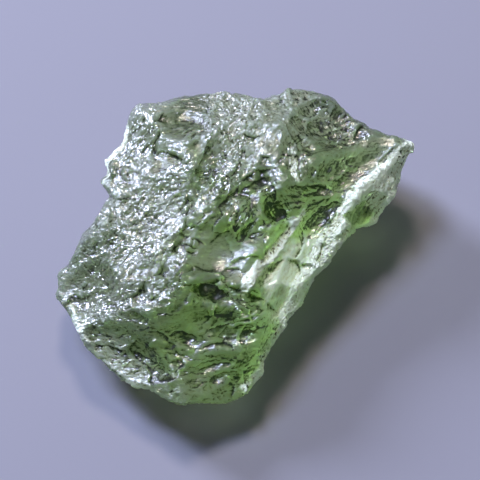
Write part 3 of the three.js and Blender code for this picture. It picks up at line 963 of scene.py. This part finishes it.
rows = {"Furrow": 0.0, "Streak": 0.0, "Wave": 0.0}
for step in range(DIRECTIONS):
    turned, share = flow_direction(etching, bent, on_skin["flow"], step, DIRECTIONS)
    seed = add_node(etching, "ShaderNodeMath", {0: given["Seed"], 1: step * SEED_STEP}, operation="ADD")
    for kind in rows:
        width = given[kind + " width"]
        slim = add_node(etching, "ShaderNodeMath", {0: width, 1: given[kind + " length"]}, operation="DIVIDE")
        slim = add_node(etching, "ShaderNodeCombineXYZ", {0: slim, 1: 1.0, 2: 1.0})
        pressed = add_node(etching, "ShaderNodeVectorMath", {0: turned, 1: slim}, operation="MULTIPLY")
        row = dishes(etching, pressed, width, seed, given["Tip"])
        rows[kind] = add_node(etching, "ShaderNodeMath", {0: row, 1: share, 2: rows[kind]},
                              operation="MULTIPLY_ADD")
print("rows in", DIRECTIONS, "directions:", len(etching.nodes), "nodes so far")

# %% [markdown]
# Etching is patchy: a noise leaves some places nearly smooth, and the furrows of the others get a fine grit.
# Ripples are the steps a crack leaves as it runs. They are the contour lines of a slow noise, each climbing
# gently and ending in a small wall.

# %% Grit and ripples
BARE_SIZE = 1.25
BARE_NOISE = (0.35, 0.6)
BARE_ETCHING = (0.1, 1.6)
SWELL_SIZE = 3.57
SWELL_ROUGHNESS = 0.45
GRIT_SEED = 40.0
RIPPLE_CONTOURS = 8.0
WALL_SHARPNESS = 6.0

patchy = add_node(etching, "ShaderNodeTexNoise", {"Vector": place, "Scale": 1 / BARE_SIZE, "Detail": 2.0})
patchy = add_node(etching, "ShaderNodeMapRange", {
    "Value": patchy, "From Min": BARE_NOISE[0], "From Max": BARE_NOISE[1],
    "To Min": BARE_ETCHING[0], "To Max": BARE_ETCHING[1]})
etched_here = add_node(etching, "ShaderNodeMath", {0: on_skin["furrowed"], 1: patchy}, operation="MULTIPLY")
seed = add_node(etching, "ShaderNodeMath", {0: given["Seed"], 1: GRIT_SEED}, operation="ADD")
grit = dishes(etching, bent, given["Grit width"], seed, given["Tip"])

swell = add_node(etching, "ShaderNodeTexNoise", {
    "Vector": place, "Scale": 1 / SWELL_SIZE, "Detail": 2.0, "Roughness": SWELL_ROUGHNESS})
waves = add_node(etching, "ShaderNodeMath", {0: swell, 1: RIPPLE_CONTOURS}, operation="MULTIPLY")
waves = add_node(etching, "ShaderNodeMath", {0: waves, 1: given["Ripple spacing"]}, operation="DIVIDE")
climb = add_node(etching, "ShaderNodeMath", {0: waves}, operation="FRACT")
wall = add_node(etching, "ShaderNodeMath", {0: climb, 1: WALL_SHARPNESS}, operation="POWER")
wall = add_node(etching, "ShaderNodeMath", {0: 1.0, 1: wall}, operation="SUBTRACT")
ripple = add_node(etching, "ShaderNodeMath", {0: climb, 1: wall}, operation="MULTIPLY")
print("bare patches", BARE_SIZE, "mm wide, ripples on swells", SWELL_SIZE, "mm wide")

# %% Raise the skin by all of them
reliefs = {
    "Furrow": (rows["Furrow"], etched_here),
    "Streak": (rows["Streak"], on_skin["streaked"]),
    "Wave": (rows["Wave"], on_skin["furrowed"]),
    "Grit": (grit, etched_here),
    "Ripple": (ripple, on_skin["rippled"]),
}
rise = 0.0
for kind, (pattern, strength) in reliefs.items():
    deep = add_node(etching, "ShaderNodeMath", {0: given[kind + " depth"], 1: strength}, operation="MULTIPLY")
    rise = add_node(etching, "ShaderNodeMath", {0: pattern, 1: deep, 2: rise}, operation="MULTIPLY_ADD")
skin_normal = add_node(etching, "GeometryNodeInputNormal")
lift = add_node(etching, "ShaderNodeVectorMath", {0: skin_normal, "Scale": rise}, operation="SCALE")
moved = add_node(etching, "GeometryNodeSetPosition", {"Geometry": given["Geometry"], "Offset": lift})
real = add_node(etching, "GeometryNodeRealizeInstances", {"Geometry": moved})
painted = add_node(etching, "GeometryNodeSetMaterial", {"Geometry": real, "Material": given["Glass"]})
add_node(etching, "NodeGroupOutput", {"Geometry": painted})
print("etching tree:", len(etching.nodes), "nodes")


# %% [markdown]
# ## The glass
#
# Moldavite is a clear glass, coloured bottle green by its iron. The green is in its depth, so it is made by
# absorption: thin edges stay pale and thick places turn deep green. On the skin, a tint adds painted light
# and shade. The skin is etched, which blurs what is behind it, and over that lie thousands of tiny polished
# faces that throw back the lamps.

# %% Colours
def linear(hex_colour):
    """An sRGB hex colour as the linear values that the nodes want."""
    channels = [int(hex_colour[i : i + 2], 16) / 255 for i in (1, 3, 5)]
    return [c / 12.92 if c <= 0.04045 else ((c + 0.055) / 1.055) ** 2.4 for c in channels] + [1.0]


# %% Etched tektite glass: clear, bottle green, soft inside and glinting outside
glass = bpy.data.materials.new("etched_tektite_glass")
glass.use_nodes = True
look = glass.node_tree
look.nodes.clear()
# the sizes of all its patterns are in millimetres, so the place is turned to millimetres first
in_metres = add_node(look, "ShaderNodeTexCoord").outputs["Object"]
where = add_node(look, "ShaderNodeVectorMath", {0: in_metres, "Scale": 1 / MM}, operation="SCALE")
skin = {
    name: add_node(look, "ShaderNodeAttribute", attribute_name=name).outputs["Fac"]
    for name in ("flow", "furrowed", "streaked", "rippled", "frost_and_painted_light", "haze_and_painted_shade", "crest")
}

# patterns on a curved break are never straight, so most are laid out on a place that a small noise pulls
PULL_SIZE = 0.5
PULL = 0.35
pull = add_node(look, "ShaderNodeTexNoise", {"Vector": where, "Scale": 1 / PULL_SIZE, "Detail": 2.0})
pull = add_node(look, "ShaderNodeVectorMath", {0: pull.outputs["Color"], "Scale": PULL}, operation="SCALE")
pulled_where = add_node(look, "ShaderNodeVectorMath", {0: where, 1: pull}, operation="ADD")
print("glass started:", glass.name)

# %% [markdown]
# Crackle is a net of fine dark lines painted on etched skin, as painted shade where light is lost. It is
# drawn by the distance to the edges of Voronoi cells, and a broad noise breaks the net up.

# %% Crackle, a net of painted shade
CRACKLE_WIDTH = 0.5
# where a crack starts to fade and where it ends, as shares of a cell
CRACKLE_LINE = (0.02, 0.12)
BROKEN_SIZE = 0.77
BROKEN_NOISE = (0.4, 0.6)

net = add_node(look, "ShaderNodeTexVoronoi", {"Vector": pulled_where, "Scale": 1 / CRACKLE_WIDTH},
               feature="DISTANCE_TO_EDGE").outputs["Distance"]
crackle_shade = add_node(look, "ShaderNodeMapRange", {
    "Value": net, "From Min": CRACKLE_LINE[0], "From Max": CRACKLE_LINE[1], "To Min": 1.0, "To Max": 0.0})
broken = add_node(look, "ShaderNodeTexNoise", {"Vector": where, "Scale": 1 / BROKEN_SIZE, "Detail": 2.0})
broken = add_node(look, "ShaderNodeMapRange", {
    "Value": broken, "From Min": BROKEN_NOISE[0], "From Max": BROKEN_NOISE[1]})
crackle_shade = add_node(look, "ShaderNodeMath", {0: crackle_shade, 1: broken}, operation="MULTIPLY")
crackle_shade = add_node(look, "ShaderNodeMath", {0: crackle_shade, 1: skin["furrowed"]}, operation="MULTIPLY")
print("crackle in cells", CRACKLE_WIDTH, "mm wide")

# %% [markdown]
# Flecks are the polished faces of single etch dishes, drawn out along the flow. They are the same dishes as
# on the skin, but too small for its points, so the bump carries them. Hairs are the fine parallel lines of a
# fresh break, and come from a noise squeezed across the flow.

# %% Flecks and hairs along the flow
HAIR_DIRECTIONS = 3
FLECK_WIDTHS = (0.36, 0.18)
FLECK_STRETCH = 0.4
FLECK_STRENGTH = 2.5
FLECK_TIP = 2.0
SEED_PER_MM = 100
HAIR_LENGTH = 2.9
HAIR_WIDTH = 0.18

flecks = 0.0
hairs = 0.0
for step in range(HAIR_DIRECTIONS):
    turned, share = flow_direction(look, pulled_where, skin["flow"], step, HAIR_DIRECTIONS)
    squeeze = (FLECK_STRETCH, 1.0, 1.0)
    pressed = add_node(look, "ShaderNodeVectorMath", {0: turned, 1: squeeze}, operation="MULTIPLY")
    for width in FLECK_WIDTHS:
        fleck = dishes(look, pressed, width, (width * SEED_PER_MM + step,) * 3, FLECK_TIP)
        tall = add_node(look, "ShaderNodeMath", {0: share, 1: width * FLECK_STRENGTH}, operation="MULTIPLY")
        flecks = add_node(look, "ShaderNodeMath", {0: fleck, 1: tall, 2: flecks}, operation="MULTIPLY_ADD")
    squeeze = (1 / HAIR_LENGTH, 1 / HAIR_WIDTH, 1 / HAIR_WIDTH)
    drawn = add_node(look, "ShaderNodeVectorMath", {0: turned, 1: squeeze}, operation="MULTIPLY")
    hair = add_node(look, "ShaderNodeTexNoise", {"Vector": drawn, "Scale": 1.0, "Detail": 1.5})
    hairs = add_node(look, "ShaderNodeMath", {0: hair, 1: share, 2: hairs}, operation="MULTIPLY_ADD")
print("flecks", FLECK_WIDTHS, "mm wide, hairs", HAIR_WIDTH, "mm wide")

# %% Where flecks and hairs show
# how strong each is on skin that has no furrows or streaks
BARE_FLECKS = 0.1
BARE_LINES = 0.15
BARE_SHADE = 0.25
# a hair line is painted shade: dark where the hairs are below the first level, and gone at the second
LINE_LEVELS = (0.35, 0.41)
EVEN_HAIRS = 0.5

etched_share = add_node(look, "ShaderNodeMath", {0: skin["furrowed"], 1: BARE_FLECKS}, operation="ADD")
flecks = add_node(look, "ShaderNodeMath", {0: flecks, 1: etched_share}, operation="MULTIPLY")
hair_line_shade = add_node(look, "ShaderNodeMapRange", {
    "Value": hairs, "From Min": LINE_LEVELS[0], "From Max": LINE_LEVELS[1], "To Min": 1.0, "To Max": 0.0})
line_share = add_node(look, "ShaderNodeMath", {0: skin["streaked"], 1: BARE_LINES}, operation="ADD")
hair_line_shade = add_node(look, "ShaderNodeMath", {0: hair_line_shade, 1: line_share}, operation="MULTIPLY")
# hair shade paints the glass paler and darker in fine stripes along the hairs: painted light and shade
shade_share = add_node(look, "ShaderNodeMath", {0: skin["streaked"], 1: BARE_SHADE}, operation="ADD")
hair_shade = add_node(look, "ShaderNodeMath", {0: hairs, 1: EVEN_HAIRS}, operation="SUBTRACT")
hair_shade = add_node(look, "ShaderNodeMath", {0: hair_shade, 1: shade_share}, operation="MULTIPLY")
hair_rise = add_node(look, "ShaderNodeMath", {0: hairs, 1: skin["streaked"]}, operation="MULTIPLY")
print("glass so far:", len(look.nodes), "nodes")

# %% [markdown]
# Glass breaks in flakes that lie over each other like tiles. They are made as contour steps of a stretched
# noise: each climbs gently and ends in a small step. The glass is painted paler as a flake climbs and dark at
# its edge, as painted light and painted shade. Etched places have none.

# %% Flakes that overlap
FLAKE_SIZE = 2.0
FLAKE_SQUEEZE = (0.4, 1.0, 1.0)
FLAKE_STEPS = 11
FLAKE_WAY = math.radians(22)
FLAKE_EDGE = (0.85, 0.98)
# how flaky plain skin is, what streaks and ripples add, and the furrows at which no flake is left
PLAIN_FLAKY = 0.2
FLAKY_GAIN = 0.7
NO_FLAKES = 1.2

along = add_node(look, "ShaderNodeVectorRotate", {
    "Vector": pulled_where, "Axis": OUT_OF_FACE, "Angle": -FLAKE_WAY}, rotation_type="AXIS_ANGLE")
along = add_node(look, "ShaderNodeVectorMath", {0: along, 1: FLAKE_SQUEEZE}, operation="MULTIPLY")
contours = add_node(look, "ShaderNodeTexNoise", {"Vector": along, "Scale": 1 / FLAKE_SIZE, "Detail": 2.5})
contours = add_node(look, "ShaderNodeMath", {0: contours, 1: FLAKE_STEPS}, operation="MULTIPLY")
climb = add_node(look, "ShaderNodeMath", {0: contours}, operation="FRACT")
flaky = add_node(look, "ShaderNodeMath", {0: skin["streaked"], 1: skin["rippled"]}, operation="ADD")
flaky = add_node(look, "ShaderNodeMath", {0: flaky, 1: FLAKY_GAIN, 2: PLAIN_FLAKY}, operation="MULTIPLY_ADD")
fresh = add_node(look, "ShaderNodeMath", {0: NO_FLAKES, 1: skin["furrowed"]}, operation="SUBTRACT")
flaky = add_node(look, "ShaderNodeMath", {0: flaky, 1: fresh}, operation="MULTIPLY", use_clamp=True)
flake_edge_shade = add_node(look, "ShaderNodeMapRange", {
    "Value": climb, "From Min": FLAKE_EDGE[0], "From Max": FLAKE_EDGE[1]})
flake_edge_shade = add_node(look, "ShaderNodeMath", {0: flake_edge_shade, 1: flaky}, operation="MULTIPLY")
flake_climb = add_node(look, "ShaderNodeMath", {0: climb, 1: flaky}, operation="MULTIPLY")
print("flakes on swells", FLAKE_SIZE, "mm wide")

# %% [markdown]
# Crushed glass is white, because each crumb sends light another way. So a crushed edge gets rough, grainy
# and mostly opaque, in crumbs, with small darker grains where it is still whole. Its pale tint on the middle
# ridge and the right-hand edges is painted light as well.

# %% Frost on crushed edges, with painted light
CRUMB_SIZE = 0.385
CRUMB_NOISE = (0.4, 0.54)
LEAST_FROST = 0.3
GRAIN_SIZE = 0.2
GRAIN_NOISE = (0.46, 0.6)

crumbs = add_node(look, "ShaderNodeTexNoise", {
    "Vector": pulled_where, "Scale": 1 / CRUMB_SIZE, "Detail": 3.0})
crumbs = add_node(look, "ShaderNodeMapRange", {
    "Value": crumbs, "From Min": CRUMB_NOISE[0], "From Max": CRUMB_NOISE[1], "To Min": LEAST_FROST})
frost = add_node(look, "ShaderNodeMath", {0: skin["frost_and_painted_light"], 1: crumbs},
                 operation="MULTIPLY", use_clamp=True)
grain = add_node(look, "ShaderNodeTexNoise", {"Vector": where, "Scale": 1 / GRAIN_SIZE, "Detail": 2.0})
dark_grains = add_node(look, "ShaderNodeMapRange", {
    "Value": grain, "From Min": GRAIN_NOISE[0], "From Max": GRAIN_NOISE[1]})
dark_grains = add_node(look, "ShaderNodeMath", {0: dark_grains, 1: frost}, operation="MULTIPLY")
rough_grain = add_node(look, "ShaderNodeMath", {0: grain, 1: frost}, operation="MULTIPLY")
print("frost in crumbs", CRUMB_SIZE, "mm wide and grains", GRAIN_SIZE, "mm wide")

# %% [markdown]
# All these small shapes are added up into one bump, each with its own height.

# %% The fine relief
BUMP_UNIT = 0.1 * MM
# (pattern, how far it rises in bump units)
relief_of = [(flecks, 1.0), (hair_rise, 0.7), (grain, 0.06), (rough_grain, 1.4), (flake_climb, -0.6)]

relief = 0.0
for pattern, rises in relief_of:
    relief = add_node(look, "ShaderNodeMath", {0: pattern, 1: rises, 2: relief}, operation="MULTIPLY_ADD")
bump = add_node(look, "ShaderNodeBump", {"Strength": 1.0, "Distance": BUMP_UNIT, "Height": relief})
print("bump from", len(relief_of), "patterns")

# %% [markdown]
# The tint is painted light and shade. Crests are painted pale and hollows dark, which the crest values of the
# skin give. Cracks, crackle, hair lines and flake edges are painted darker still, as painted shade. Haze is
# paler, and where it is below 0 it is painted shade. Frost is paler, and on the middle ridge and the
# right-hand edges its paleness is painted light.

# %% The tint, with painted light and shade
HAZE_TINT = 0.2
# frost is pale, and on the middle ridge and the right-hand edges its paleness is painted light
FROST_AND_LIGHT_TINT = 0.45
GRAIN_DARKNESS = 0.5
CRACKLE_DARKNESS = 0.25
HAIR_DARKNESS = 0.25
HAIR_SHADE = 1.4
FLAKE_DARKNESS = 0.3
FLAKE_SHADE = 0.55
FLAKE_MIDDLE = 0.6
# the ramp runs from the deepest painted shade up to painted light on crests and to pale frost
CREST_TINTS = [(0.0, "#0c1408"), (0.2, "#5c6a40"), (0.42, "#d6dcb8"), (0.75, "#f2ffea")]

haze = add_node(look, "ShaderNodeMath", {0: skin["haze_and_painted_shade"], 1: 0.0}, operation="MAXIMUM")
# below 0 the spots give painted shade, which darkens the tint
painted_depth_shade = add_node(look, "ShaderNodeMath", {0: skin["haze_and_painted_shade"], 1: 0.0}, operation="MINIMUM")
# (pattern, how much paler it makes the glass)
tint_of = [
    (painted_depth_shade, 1.0),
    (haze, HAZE_TINT),
    (frost, FROST_AND_LIGHT_TINT),
    (dark_grains, -GRAIN_DARKNESS),
    (crackle_shade, -CRACKLE_DARKNESS),
    (hair_line_shade, -HAIR_DARKNESS),
    (hair_shade, HAIR_SHADE),
    # flakes: painted shade at their edges and painted light as they climb
    (flake_edge_shade, -FLAKE_DARKNESS),
    (flake_climb, FLAKE_SHADE),
    (flaky, -FLAKE_SHADE * FLAKE_MIDDLE),
]
paleness = skin["crest"]
for pattern, adds in tint_of:
    paleness = add_node(look, "ShaderNodeMath", {0: pattern, 1: adds, 2: paleness}, operation="MULTIPLY_ADD")
tint = add_node(look, "ShaderNodeValToRGB", {"Fac": paleness})
stops = tint.color_ramp.elements
while len(stops) < len(CREST_TINTS):
    stops.new(0.5)
for stop, (share, colour) in zip(stops, CREST_TINTS):
    stop.position = share
    stop.color = linear(colour)
print("tint from", len(tint_of) + 1, "patterns")

# %% [markdown]
# Etched glass is rough and blurs, so the body is given a middling roughness, a little uneven. Haze and frost
# let less light straight through. Real polished faces are smooth, and lie on the body as a thin clear coat,
# strong in patches of the etched skin and missing on frost.

# %% Roughness, clearness and polish
MOTTLE_SIZE = 1.1
MOTTLE_NOISE = (0.35, 0.65)
BODY_ROUGHNESS = (0.275, 0.34)
FROST_ROUGHNESS = 0.75
CLEARNESS = 0.97
HAZE_CLEARNESS = 0.5
FROST_CLEARNESS = 0.25
PATCH_SIZE = 1.67
PATCH_NOISE = (0.4, 0.55)
PATCH_POLISH = (0.1, 1.3)
STREAK_POLISH = 0.2
LEAST_POLISH = 0.02

mottle = add_node(look, "ShaderNodeTexNoise", {"Vector": where, "Scale": 1 / MOTTLE_SIZE, "Detail": 4.0})
rough = add_node(look, "ShaderNodeMapRange", {
    "Value": mottle, "From Min": MOTTLE_NOISE[0], "From Max": MOTTLE_NOISE[1],
    "To Min": BODY_ROUGHNESS[0], "To Max": BODY_ROUGHNESS[1]})
rough = add_node(look, "ShaderNodeMix", {0: frost, 2: rough, 3: FROST_ROUGHNESS}, data_type="FLOAT")
clear = add_node(look, "ShaderNodeMix", {0: haze, 2: CLEARNESS, 3: HAZE_CLEARNESS}, data_type="FLOAT")
clear = add_node(look, "ShaderNodeMix", {0: frost, 2: clear, 3: FROST_CLEARNESS}, data_type="FLOAT")

patch = add_node(look, "ShaderNodeTexNoise", {"Vector": pulled_where, "Scale": 1 / PATCH_SIZE, "Detail": 3.0})
patch = add_node(look, "ShaderNodeMapRange", {
    "Value": patch, "From Min": PATCH_NOISE[0], "From Max": PATCH_NOISE[1],
    "To Min": PATCH_POLISH[0], "To Max": PATCH_POLISH[1]})
polish = add_node(look, "ShaderNodeMath", {0: skin["streaked"], 1: STREAK_POLISH, 2: LEAST_POLISH},
                  operation="MULTIPLY_ADD")
polish = add_node(look, "ShaderNodeMath", {0: skin["furrowed"], 1: patch, 2: polish},
                  operation="MULTIPLY_ADD")
whole = add_node(look, "ShaderNodeMath", {0: 1.0, 1: frost}, operation="SUBTRACT")
polish = add_node(look, "ShaderNodeMath", {0: polish, 1: whole}, operation="MULTIPLY", use_clamp=True)
print("body roughness", BODY_ROUGHNESS, "and on frost", FROST_ROUGHNESS)

# %% [markdown]
# Natural glass bends light by about 1.49. Light that passes loses blue most and red next, at a rate that
# leaves a thin edge nearly clear and turns 10 mm of glass deep green. The coat's index is set above that of
# glass, because the real polished faces are smaller and brighter than these.

# %% Put the glass together
GLASS_IOR = 1.49
POLISH_ROUGHNESS = 0.08
POLISH_IOR = 1.9
ABSORPTION_COLOUR = "#b8dc18"
# for each metre of glass
ABSORPTION_DENSITY = 105

surface = add_node(look, "ShaderNodeBsdfPrincipled", {
    "Base Color": tint,
    "Roughness": rough,
    "IOR": GLASS_IOR,
    "Transmission Weight": clear,
    "Coat Weight": polish,
    "Coat Roughness": POLISH_ROUGHNESS,
    "Coat IOR": POLISH_IOR,
    "Normal": bump,
    "Coat Normal": bump,
})
soak = add_node(look, "ShaderNodeVolumeAbsorption", {
    "Color": linear(ABSORPTION_COLOUR), "Density": ABSORPTION_DENSITY})
add_node(look, "ShaderNodeOutputMaterial", {"Surface": surface, "Volume": soak})
print("glass:", len(look.nodes), "nodes")


# %% [markdown]
# ## Etch the stone
#
# The tree becomes a modifier of the stone. Its inputs are set by their identifiers, and the result is baked
# to a plain mesh at once.

# %% Run the etching on the stone
def run_nodes(thing, tree, **inputs):
    """Adds a node tree as a modifier, sets its inputs by their identifiers, and bakes it."""
    modifier = thing.modifiers.new(tree.name, "NODES")
    modifier.node_group = tree
    for item in tree.interface.items_tree:
        if item.item_type == "SOCKET" and item.in_out == "INPUT" and item.name in inputs:
            modifier[item.identifier] = inputs[item.name]
    bake_modifiers(thing)


run_nodes(stone, etching, Glass=glass, **SIZES)
etched = points_of(stone.data)
lifted = np.linalg.norm(etched - points, axis=1)
print("etched relief:", np.round(np.percentile(lifted, [5, 50, 95]), 3), "mm")


# %% [markdown]
# The glass is painted paler on its crests and darker in its hollows, as painted light and painted shade. A
# point's crest value is how far it stands out from the smoothed skin around it, at a fine scale and a broad
# one.
# The painted shade of the cracks is taken off it, and the tint of the glass reads it.

# %% Crests and hollows, for painted light and shade
# (rounds of smoothing that a crest stands out from, height in mm that counts as full)
CREST_SCALES = [(5, 0.12), (60, 0.9)]
CRACK_SHADE = 0.65


def crests():
    """0 in a hollow, 1 on a crest and 0.5 on even skin, at a fine and a broad scale together, less the
    painted crack shade.
    """
    share = np.full(len(etched), 0.5)
    for rounds, full in CREST_SCALES:
        stands_out = ((etched - smoothed(etched, rounds)) * normals).sum(axis=1)
        share += np.clip(stands_out / full, -0.5, 0.5)
    return np.clip(share - CRACK_SHADE * crack_shade, 0, 1)


crest = crests()
set_attribute(stone.data, "crest", crest)
print("crest:", np.round(np.percentile(crest, [5, 25, 50, 75, 95]), 2))

# %% [markdown]
# ## Seat the stone
#
# The carving may reach below the floor, so the skin is pressed up to it. Then the points are thinned out,
# most on the side that is turned away, and edges sharper than a set angle keep a hard line.

# %% Seat it, thin it out and make it metres
TRIANGLES = 196000
# in degrees
SHARP_EDGE = 28
FINENESS_LEVELS = 5
# the `facing` down to which some of the fineness is kept, and a share just under 1 for the finest level
FINE_TO = -0.3
FINEST = 0.99

etched[:, 2] = np.maximum(etched[:, 2], 0)
set_points(stone.data, etched)
count = sum(len(p.vertices) - 2 for p in stone.data.polygons)
kept_fine = stone.vertex_groups.new(name="seen")
levels = np.floor(np.clip(facing - FINE_TO, 0, FINEST) * FINENESS_LEVELS)
for level in range(FINENESS_LEVELS):
    kept_fine.add(np.flatnonzero(levels == level).tolist(), level / (FINENESS_LEVELS - 1), "REPLACE")
thin = stone.modifiers.new("thin", "DECIMATE")
thin.ratio = min(1.0, TRIANGLES / count)
thin.vertex_group = kept_fine.name
thin.invert_vertex_group = True
thin.vertex_group_factor = 1.0
bake_modifiers(stone)
stone.data.transform(Matrix.Scale(MM, 4))
stone.data.shade_smooth()
stone.data.set_sharp_from_angle(angle=math.radians(SHARP_EDGE))
print(count, "triangles thinned to", sum(len(p.vertices) - 2 for p in stone.data.polygons))

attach(stone, "root")
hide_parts("moldavite")

# %% [markdown]
# ## The floor and the light
#
# Much of what a clear stone shows is its floor, seen through it. So the floor is plain and a little cool, and
# just grey enough to stay pale, not white, under the lamps.

# %% The floor
FLOOR_SIZE = 4
FLOOR_COLOUR = "#76777f"
FLOOR_ROUGHNESS = 0.9

bpy.ops.mesh.primitive_plane_add(size=FLOOR_SIZE)
floor = bpy.context.object
floor.name = "floor"
matt_grey = bpy.data.materials.new("pale_floor")
matt_grey.use_nodes = True
floor_surface = matt_grey.node_tree.nodes["Principled BSDF"]
floor_surface.inputs["Base Color"].default_value = linear(FLOOR_COLOUR)
floor_surface.inputs["Roughness"].default_value = FLOOR_ROUGHNESS
floor.data.materials.append(matt_grey)
print("floor", FLOOR_SIZE, "m wide")

# %% [markdown]
# Relief shows when light rakes over it. Two cool lamps, like windows, stand at the upper left, one low and
# one high. A small warm one stands high behind, for the few warm glints. A dim grey room fills the shadows.

# %% Lights
ROOM_COLOUR = "#d4d5da"
ROOM_STRENGTH = 0.24
# (name, the way it stands from the stone, distance and width in metres, watts, colour)
LAMPS = [
    ("low_window", (-0.65, 0.6, 0.47), 0.45, 0.14, 4.2, "#d6dcff"),
    ("cool_window", (-0.38, 0.34, 0.86), 0.45, 0.13, 2.1, "#ccd6ff"),
    ("warm_overhead", (-0.04, 0.53, 0.85), 0.5, 0.1, 1.4, "#ffeee0"),
]

world = bpy.data.worlds.new("room")
world.use_nodes = True
scene.world = world
sky = world.node_tree.nodes["Background"]
sky.inputs["Color"].default_value = linear(ROOM_COLOUR)
sky.inputs["Strength"].default_value = ROOM_STRENGTH


def lamp(name, toward, far, size, watts, colour):
    """A round lamp in the direction `toward`, `far` metres off, turned to the stone."""
    light = bpy.data.lights.new(name, "AREA")
    light.shape = "DISK"
    light.size = size
    light.energy = watts
    light.color = linear(colour)[:3]
    holder = bpy.data.objects.new(name, light)
    scene.collection.objects.link(holder)
    direction = Vector(toward).normalized()
    holder.location = direction * far
    holder.rotation_mode = "QUATERNION"
    holder.rotation_quaternion = direction.to_track_quat("Z", "Y")


for settings in LAMPS:
    lamp(*settings)
print(len(LAMPS), "lamps")
scene.view_settings.view_transform = "Standard"
